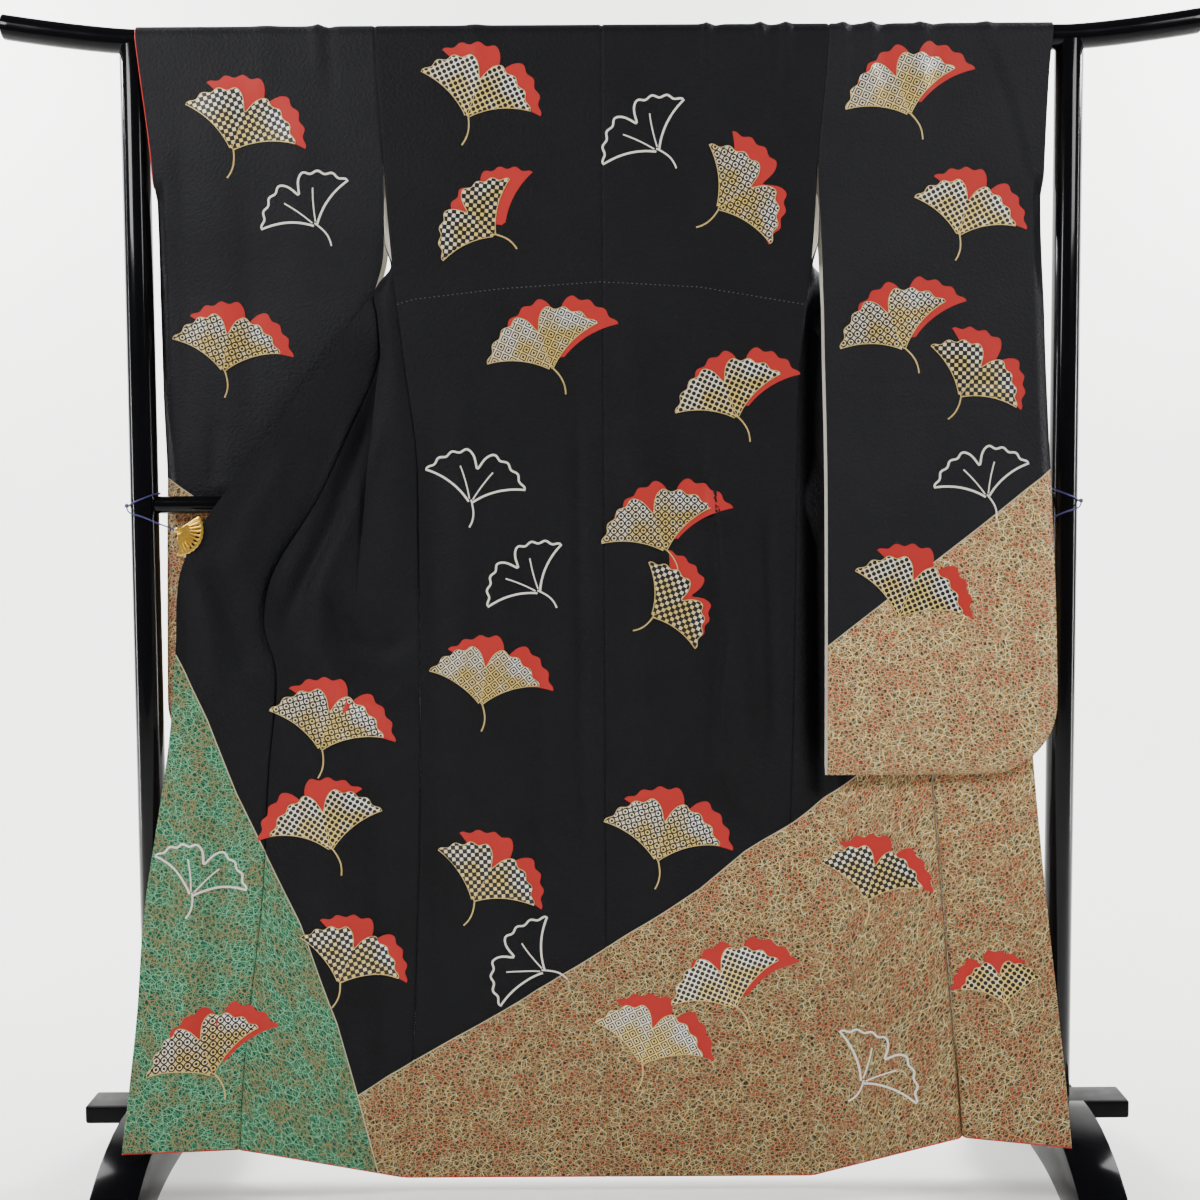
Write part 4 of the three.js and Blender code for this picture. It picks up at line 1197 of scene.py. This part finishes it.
# %% Piping and stitches
def piping(name, runs, radius=1.0, sides=8):
    """Round piping along lines of points in millimetres, one closed tube for each run."""
    points, faces = [], []
    for run in runs:
        along = np.gradient(run, axis=0)
        along /= np.maximum(np.linalg.norm(along, axis=1, keepdims=True), 1e-9)
        first = np.cross(along, [0.0, 0.3, 1.0])
        first /= np.linalg.norm(first, axis=1, keepdims=True)
        second = np.cross(along, first)
        start = len(points)
        for k, place in enumerate(run):
            for j in range(sides):
                angle = 2 * math.pi * j / sides
                spoke = first[k] * math.cos(angle) + second[k] * math.sin(angle)
                points.append(((place + radius * spoke) / 1000).tolist())
        for k in range(len(run) - 1):
            for j in range(sides):
                a, b = start + k * sides + j, start + k * sides + (j + 1) % sides
                faces.append([a, b, b + sides, a + sides])
        faces.append([start + j for j in range(sides)])
        faces.append([start + (len(run) - 1) * sides + j for j in range(sides)])
    made = new_piece(name, points, faces, red_edge)
    mend(made)
    bpy.ops.object.shade_smooth()
    return made


pipes = {name: piping(name + "_piping", runs) for name, runs in EDGES.items()}
TUCK = [(-312, 1276), (-267, 1289), (-145, 1303), (-4, 1312), (137, 1304), (284, 1279)]
sewn = Patches()
for x in np.arange(-290, 284, 6.5):
    z = np.interp(x, [p[0] for p in TUCK], [p[1] for p in TUCK])
    ribbon(sewn, front_press, np.array([[x - 1, z], [x, z + 0.05], [x + 1, z]]) / 1000, 0.7, 0.05, 0.35)
stitches = sewn.piece("tuck_stitches", grey_thread)

# %% [markdown]
# The stand is wood under many coats of black lacquer, rubbed and polished until it mirrors the room. A
# black base with a low roughness and a thin clear coat gives those sharp lights. In a pale room it would
# look grey, so it mirrors less here than the real one does, least of all on the feet and the flat base
# rail.

# %% Lacquer, brass and cord
def lacquer_material(name, rough, specular, coat, coat_rough):
    material, tree, shader = finish(
        name,
        {
            "Base Color": shade("#08080a"),
            "Specular IOR Level": specular,
            "Coat Weight": coat,
            "Coat Roughness": coat_rough,
        },
    )
    place = node(tree, "TexCoord").outputs["Object"]
    haze = node(tree, "TexNoise", {"Vector": place, "Scale": 18.0, "Detail": 3.0}).outputs[0]
    rub = node(tree, "MapRange", {"Value": haze, 1: 0.35, 2: 0.7, 3: rough * 0.8, 4: rough * 1.3}).outputs[0]
    tree.links.new(rub, shader.inputs["Roughness"])
    wavy = node(tree, "TexNoise", {"Vector": place, "Scale": 30.0, "Detail": 1.0}).outputs[0]
    bump = node(tree, "Bump", {"Height": wavy, "Strength": 0.03, "Distance": 0.002})
    tree.links.new(bump.outputs[0], shader.inputs["Normal"])
    return material


lacquer = lacquer_material("polished_black_lacquer", 0.14, 0.12, 0.1, 0.04)
foot_lacquer = lacquer_material("rubbed_black_lacquer", 0.13, 0.03, 0.01, 0.05)
satin_lacquer = lacquer_material("satin_black_lacquer", 0.4, 0.06, 0.0, 0.3)

gilt_brass, tree, shader = finish("gilt_brass", {"Metallic": 1.0, "Roughness": 0.38})
place = node(tree, "TexCoord").outputs["Object"]
worn = node(tree, "TexNoise", {"Vector": place, "Scale": 260.0, "Detail": 3.0}).outputs[0]
tone = node(tree, "Mix", {0: worn, 6: shade("#c8922c"), 7: shade("#edc862")}, data_type="RGBA").outputs[2]
tree.links.new(tone, shader.inputs["Base Color"])

violet_cord, tree, shader = finish("violet_cord", {"Roughness": 0.75, "Sheen Weight": 0.05})
place = node(tree, "TexCoord").outputs["Object"]
twist = {"Vector": place, "Scale": 260.0, "Distortion": 1.0}
strands = node(tree, "TexWave", twist, bands_direction="DIAGONAL").outputs[1]
tone = node(tree, "Mix", {0: strands, 6: shade("#140e3c"), 7: shade("#2c2370")}, data_type="RGBA").outputs[2]
tree.links.new(tone, shader.inputs["Base Color"])
bump = node(tree, "Bump", {"Height": strands, "Strength": 0.5, "Distance": 0.0003})
tree.links.new(bump.outputs[0], shader.inputs["Normal"])

# %% [markdown]
# The rails and posts were turned round on a lathe, the feet and the base rail sawn from boards. Each starts
# as a primitive at its place. The helpers here settle a finished piece and extrude chosen faces.

# %% Helpers for modelling by hand
def settle(piece, name, material, soft_edge=0.0, steps=3, angle=35):
    """Names a piece, rounds its edges, smooths it and puts its place into its mesh."""
    piece.name = name
    piece.data.name = name
    only(piece)
    bpy.ops.object.transform_apply(location=True, rotation=True, scale=True)
    mend(piece, 0.00001)
    if soft_edge:
        bevel = piece.modifiers.new("soft edge", "BEVEL")
        bevel.width, bevel.segments = soft_edge, steps
        bevel.limit_method, bevel.angle_limit = "ANGLE", math.radians(angle)
        bpy.ops.object.modifier_apply(modifier=bevel.name)
    bpy.ops.object.shade_smooth_by_angle(angle=math.radians(angle))
    piece.data.materials.clear()
    piece.data.materials.append(material)
    print(name, len(piece.data.polygons), "faces")
    return piece


def pick_faces(piece, pick):
    """Leaves a piece in edit mode with only the faces selected that pick chooses."""
    only(piece)
    bpy.ops.object.mode_set(mode="EDIT")
    bpy.ops.mesh.select_mode(type="FACE")
    bpy.ops.mesh.select_all(action="DESELECT")
    bpy.ops.object.mode_set(mode="OBJECT")
    for face in piece.data.polygons:
        face.select = pick(face)
    bpy.ops.object.mode_set(mode="EDIT")


def grow(piece, pick, stations):
    """Extrudes the faces that pick chooses by each shift in turn."""
    pick_faces(piece, pick)
    for shift in stations:
        bpy.ops.mesh.extrude_region_move(TRANSFORM_OT_translate={"value": shift})
    bpy.ops.object.mode_set(mode="OBJECT")


stand = {}

# %% [markdown]
# The top rail starts as a disc at one tip, which is extruded from station to station, so that its tips can
# curve up beyond the posts.

# %% Top rail
def rail_lift(x):
    return 0.022 * max(0.0, (abs(x) - 0.655) / 0.189) ** 1.35


tip = np.concatenate([np.linspace(-0.844, -0.655, 16), [-0.3, 0.3], np.linspace(0.655, 0.844, 16)])
RAIL_Z = RAIL_HEIGHT / 1000
bpy.ops.mesh.primitive_circle_add(
    vertices=56,
    radius=0.0175,
    fill_type="NGON",
    location=(tip[0], 0, RAIL_Z + rail_lift(tip[0])),
    rotation=(0, math.pi / 2, 0),
)
rail = bpy.context.object
bpy.ops.object.transform_apply(location=True, rotation=True)
grow(rail, lambda face: True, [(b - a, 0, rail_lift(b) - rail_lift(a)) for a, b in zip(tip, tip[1:])])
only(rail)
bpy.ops.object.mode_set(mode="EDIT")
bpy.ops.mesh.select_all(action="SELECT")
bpy.ops.mesh.remove_doubles(threshold=0.00001)
bpy.ops.mesh.fill_holes(sides=60)
bpy.ops.object.mode_set(mode="OBJECT")
stand["rail"] = settle(rail, "top_rail_lacquered", lacquer, 0.003)

# %% [markdown]
# The top of each post is hollowed to seat the rail, and each end of the middle rail to fit the post. Such a
# joint is cut with the round form that goes into it, which a boolean modifier does.

# %% Posts and middle rail
def cut_with(piece, cutter):
    only(piece)
    tool = piece.modifiers.new("cut", "BOOLEAN")
    tool.object, tool.operation, tool.solver = cutter, "DIFFERENCE", "EXACT"
    bpy.ops.object.modifier_apply(modifier=tool.name)


def rod(radius, length, place, sides, turned=(0, 0, 0)):
    bpy.ops.mesh.primitive_cylinder_add(
        vertices=sides, radius=radius, depth=length, location=place, rotation=turned
    )
    piece = bpy.context.object
    bpy.ops.object.transform_apply(location=True, rotation=True)
    return piece


POST_X, MIDDLE_Z = POST / 1000, MIDDLE_RAIL / 1000
POST_TOP, POST_FOOT = 1.647, 0.1288
seat = rod(0.0178, 1.6, (0, 0, RAIL_Z), 64, (0, math.pi / 2, 0))
for side in ("left", "right"):
    post = rod(0.02, POST_TOP - POST_FOOT, (SIGN[side] * POST_X, 0, (POST_TOP + POST_FOOT) / 2), 64)
    cut_with(post, seat)
    stand[f"post_{side}"] = settle(post, f"post_{side}_lacquered", lacquer, 0.0008, 2)
bpy.data.objects.remove(seat)

middle = rod(0.0125, 2 * POST_X, (0, 0, MIDDLE_Z), 48, (0, math.pi / 2, 0))
for sign in (-1, 1):
    tenon = rod(0.0203, 0.08, (sign * POST_X, 0, MIDDLE_Z), 64)
    cut_with(middle, tenon)
    bpy.data.objects.remove(tenon)
stand["middle"] = settle(middle, "middle_rail_lacquered", lacquer, 0.0003, 1)

# %% [markdown]
# The base rail is a flat board with rounded edges. The feet are boards sawn to an arch: each starts as the
# block below the base rail, and its two ends are extruded outwards, station by station, to the toes.

# %% Base rail and feet
bpy.ops.mesh.primitive_cube_add(size=1, location=(0, 0, 0.1285 - 0.01325))
board = bpy.context.object
board.scale = (1.52, 0.06, 0.0265)
stand["base"] = settle(board, "base_rail_lacquered", satin_lacquer, 0.004, 4)

ARCH = [  # distance from the middle, top, underside, in millimetres
    [30.3, 130, 44.9],
    [60, 130, 44],
    [90, 128, 41.5],
    [120, 123, 37.5],
    [150, 115, 31],
    [180, 103.5, 20],
    [200, 94, 10],
    [214, 86, 0],
    [230, 76.5, 0],
    [245, 66, 0],
    [262, 51, 0],
    [276, 37, 0],
    [290, 22, 0],
]


def foot_board(x):
    """Half an arch is extruded from a block, then mirrored."""
    top, low = 101.7, 44.9  # of the block below the base rail
    bpy.ops.mesh.primitive_cube_add(size=1, location=(x, 0.01515, (top + low) / 2000))
    foot = bpy.context.object
    foot.scale = (0.066, 0.0303, (top - low) / 1000)
    bpy.ops.object.transform_apply(location=True, rotation=True, scale=True)
    for reach, new_top, new_low in ARCH:
        far = max(face.center.y for face in foot.data.polygons)
        end = reach / 1000
        grow(foot, lambda face: face.center.y > far - 1e-5 and face.normal.y > 0.9, [(0, end - far, 0)])
        for vertex in foot.data.vertices:
            if vertex.co.y > end - 1e-6 and vertex.select:
                vertex.co.z = (new_top if vertex.co.z > (top + low) / 2000 else new_low) / 1000
        top, low = new_top, new_low
    return foot


for side in ("left", "right"):
    foot = foot_board(SIGN[side] * POST_X)
    only(foot)
    pick_faces(foot, lambda face: abs(face.center.y) < 1e-5)
    bpy.ops.mesh.delete(type="FACE")
    bpy.ops.object.mode_set(mode="OBJECT")
    mirror = foot.modifiers.new("other half", "MIRROR")
    mirror.use_axis = (False, True, False)
    mirror.use_clip = True
    bpy.ops.object.modifier_apply(modifier=mirror.name)
    stand[f"foot_{side}"] = settle(foot, f"foot_{side}_lacquered", foot_lacquer, 0.0025, 3, 28)

# %% [markdown]
# Each clip is a small brass spring clip, gilt, with a leaf like a folding fan in front of the cloth and a
# plain leaf behind it. The fan's pleats are made from a flat grid whose points are turned about the pivot.

# %% Cloth clips
def fan_leaf(pivot, y, radius, pleats, deep, mirrored, slots):
    """A pleated fan round a pivot, in millimetres, with a slot in every second rib where slots is true."""
    bpy.ops.mesh.primitive_grid_add(x_subdivisions=pleats * 2, y_subdivisions=8, size=1)
    leaf = bpy.context.object
    for vertex in leaf.data.vertices:
        share, reach = vertex.co.x + 0.5, vertex.co.y + 0.5
        angle = math.radians(-92 + 125 * share)
        column = round(share * pleats * 2)
        scallop = 1 + 0.03 * (column % 2)
        far = (4 + (radius * scallop - 4) * reach) / 1000
        rise = (column % 2) * deep * (0.2 + 0.8 * reach) / 1000
        vertex.co = (pivot[0] + math.cos(angle) * far * mirrored, y - rise, pivot[1] + math.sin(angle) * far)
    if slots:
        columns = pleats * 2
        pick_faces(leaf, lambda face: face.index % columns % 2 == 0 and 3 <= face.index // columns <= 6)
        bpy.ops.mesh.delete(type="FACE")
        bpy.ops.object.mode_set(mode="OBJECT")
    wall = leaf.modifiers.new("sheet", "SOLIDIFY")
    wall.thickness, wall.offset = 0.0007, 0
    only(leaf)
    bpy.ops.object.modifier_apply(modifier=wall.name)
    return leaf


def joined(pieces, name, material, **edges):
    bpy.ops.object.select_all(action="DESELECT")
    for piece in pieces:
        piece.select_set(True)
    bpy.context.view_layer.objects.active = pieces[0]
    bpy.ops.object.join()
    return settle(bpy.context.object, name, material, **edges)


CLIPS = {"left": (-0.601, 0.966, -0.0486, -0.0405), "right": (0.606, 0.966, -0.0252, -0.0172)}
clips = {}
for side, (x, z, front, behind) in CLIPS.items():
    facing = -SIGN[side]
    parts = [fan_leaf((x, z), front - 0.0004, 36, 11, 1.1, facing, True)]
    parts.append(fan_leaf((x, z), behind + 0.0012, 30, 6, 0.1, facing, False))
    parts.append(rod(0.003, behind - front + 0.004, (x, (front + behind) / 2, z), 24, (math.pi / 2, 0, 0)))
    bpy.ops.mesh.primitive_uv_sphere_add(
        segments=20, ring_count=10, radius=0.0042, location=(x, front - 0.0012, z)
    )
    head = bpy.context.object
    head.scale.y = 0.45
    bpy.ops.object.transform_apply(location=True, scale=True)
    parts.append(head)
    clips[side] = joined(parts, f"clip_{side}_gilt", gilt_brass, soft_edge=0.00015, steps=1, angle=50)

# %% [markdown]
# A violet cord ties each clip to its post. It runs taut from the clip's pivot past the front of the post,
# to a knot on the loop that goes round the post just above the middle rail.

# %% Ties
TIES = {
    "left": [
        (-604.6, -44.5, 966),
        (-632.3, -34.5, 975),
        (-656, -24.4, 984),
        (-676, -19.5, 990),
        (-684.6, -5.4, 997.2),
    ],
    "right": [
        (609.6, -21.2, 966),
        (634.8, -22.8, 975),
        (656, -24.4, 984),
        (676, -19.5, 990),
        (684.6, -5.4, 997.2),
    ],
}
CORD_RADIUS = 0.0011
LOOP_REACH = 0.0217  # from the post's axis to the loop's, with the post's 20 mm


def cord_along(name, points, radius, closed=False):
    line = bpy.data.curves.new(name, "CURVE")
    line.dimensions = "3D"
    line.bevel_depth, line.bevel_resolution, line.use_fill_caps = radius, 4, True
    path = line.splines.new("NURBS" if closed else "POLY")
    path.points.add(len(points) - 1)
    for point, place in zip(path.points, points):
        point.co = (*place, 1)
    if closed:
        path.use_cyclic_u, path.order_u = True, 4
    piece = bpy.data.objects.new(name, line)
    bpy.context.collection.objects.link(piece)
    line.materials.append(violet_cord)
    return piece


ties, loops, knots, routes = {}, {}, {}, {}
for side, route in TIES.items():
    sign = SIGN[side]
    run = np.array(route, float)
    steps = np.linspace(0, len(run) - 1, 25)
    rows = [[k, *place] for k, place in enumerate(run)]
    path = np.stack([follow(rows, k, steps) for k in (1, 2, 3)], axis=-1) / 1000
    ties[side] = cord_along(f"tie_{side}_cord", path.tolist(), CORD_RADIUS)
    routes[side] = path
    ring = []
    for k in range(28):
        angle = 2 * math.pi * k / 28
        x, y = LOOP_REACH * math.cos(angle), LOOP_REACH * math.sin(angle)
        ring.append((sign * (POST_X + x), y, 1.009 - 0.009 * math.cos(angle)))
    loops[side] = cord_along(f"loop_{side}_cord", ring, CORD_RADIUS, closed=True)
    # The knot is a short overhand turn of the same cord, modelled as a tight coil of three turns
    coil = []
    for k in range(40):
        angle = 2 * math.pi * 3 * k / 39
        fat = 0.0021 * (0.75 + 0.25 * math.sin(math.pi * k / 39))
        y = -0.0042 + 0.0044 * k / 39
        coil.append((sign * 0.6852 + fat * math.cos(angle), y, 1.0 + fat * math.sin(angle)))
    knots[side] = cord_along(f"knot_{side}_cord", coil, CORD_RADIUS)
for piece in (*ties.values(), *loops.values(), *knots.values()):
    only(piece)
    bpy.ops.object.convert(target="MESH")
    mend(piece, 0.000001)
    bpy.ops.object.shade_smooth_by_angle(angle=math.radians(50))
print("ties", len(ties))

# %% [markdown]
# The stage is a pale sweep of floor and wall. Two soft lights hang high at the left and right of the
# camera, so high that the upright posts don't mirror them. Tall narrow lights at the sides draw the lights
# along the posts, and two more lights make the wall behind nearly white.

# %% Stage and lights
bpy.ops.mesh.primitive_plane_add(size=1, location=(0, 0, 0))
sweep = bpy.context.object
sweep.scale = (9, 6, 1)
bpy.ops.object.transform_apply(scale=True)
only(sweep)
bpy.ops.object.mode_set(mode="EDIT")
bpy.ops.mesh.select_mode(type="EDGE")
bpy.ops.mesh.select_all(action="DESELECT")
bpy.ops.object.mode_set(mode="OBJECT")
for edge in sweep.data.edges:
    edge.select = all(sweep.data.vertices[v].co.y > 2.9 for v in edge.vertices)
bpy.ops.object.mode_set(mode="EDIT")
bpy.ops.mesh.extrude_region_move(TRANSFORM_OT_translate={"value": (0, 0, 5)})
bpy.ops.object.mode_set(mode="OBJECT")
stage_paint, tree, shader = finish("pale_stage", {"Roughness": 0.9, "Specular IOR Level": 0.1})
place = node(tree, "TexCoord").outputs["Object"]
cloud = node(tree, "TexNoise", {"Vector": place, "Scale": 2.0, "Detail": 2.0}).outputs[0]
tone = node(tree, "Mix", {0: cloud, 6: shade("#ececea"), 7: shade("#f3f3f1")}, data_type="RGBA").outputs[2]
tree.links.new(tone, shader.inputs["Base Color"])
settle(sweep, "stage_sweep", stage_paint, 1.2, 12, 60)


def soft_light(name, place, aim, width, height, power):
    bpy.ops.object.light_add(type="AREA", location=place)
    lamp = bpy.context.object
    lamp.name = name
    lamp.data.shape, lamp.data.energy = "RECTANGLE", power
    lamp.data.size, lamp.data.size_y = width, height
    lamp.rotation_euler = (Vector(aim) - Vector(place)).to_track_quat("-Z", "Y").to_euler()


soft_light("key_right", (1.9, -1.7, 2.6), (0.2, 0, 1.0), 1.0, 0.8, 52)
soft_light("key_left", (-2.0, -1.7, 2.6), (-0.2, 0, 1.0), 1.0, 0.8, 84)
soft_light("strip_left", (-2.1, 0.2, 1.1), (-0.66, 0, 0.9), 0.06, 2.4, 30)
soft_light("strip_right", (2.1, 0.2, 1.1), (0.66, 0, 0.9), 0.06, 2.4, 30)
soft_light("wall_left", (-2.6, 1.2, 2.9), (-0.6, 3.0, 0.9), 1.6, 1.0, 320)
soft_light("wall_right", (2.6, 1.2, 2.9), (0.6, 3.0, 0.9), 1.6, 1.0, 320)
world = bpy.context.scene.world or bpy.data.worlds.new("room")
bpy.context.scene.world = world
world.use_nodes = True
world.node_tree.nodes["Background"].inputs[0].default_value = (0.95, 0.97, 1.0, 1)
world.node_tree.nodes["Background"].inputs[1].default_value = 0.14

# %% [markdown]
# Every piece rides on the part's one body. The cloth panels, the stand, the clips and the cords stand for
# the CAD nodes at their places, which are hidden. The real length of each tie is printed.

# %% Tie the pieces to the part
for name, piece in cells.items():
    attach(piece, "root")
    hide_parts(name)
on_cloth = [(motifs["foil"], "motif_foil"), (motifs["gold"], "motif_foil"), (motifs["red"], "motif_red")]
on_cloth += [(motifs["pale"], "stitch"), (stitches, "stitch")] + [(pipe, "piping") for pipe in pipes.values()]
for piece, slot in on_cloth:
    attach(piece, "root")
RAILS = {
    "rail": ["top_rail", "rail_tip_left", "rail_tip_right"],
    "middle": ["middle_rail"],
    "base": ["base_rail"],
}
for key, piece in stand.items():
    nodes = RAILS.get(key, [key])
    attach(piece, "root")
    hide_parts(*nodes)
for side in ("left", "right"):
    for kind, group in (("clip", clips), ("tie", ties), ("loop", loops), ("knot", knots)):
        piece = group[side]
        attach(piece, "root")
        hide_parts(f"{kind}_{side}")
    path = routes[side]
    size = float(np.linalg.norm(np.diff(path, axis=0), axis=1).sum())
    print(f"tie_{side}", round(size, 4), "m")
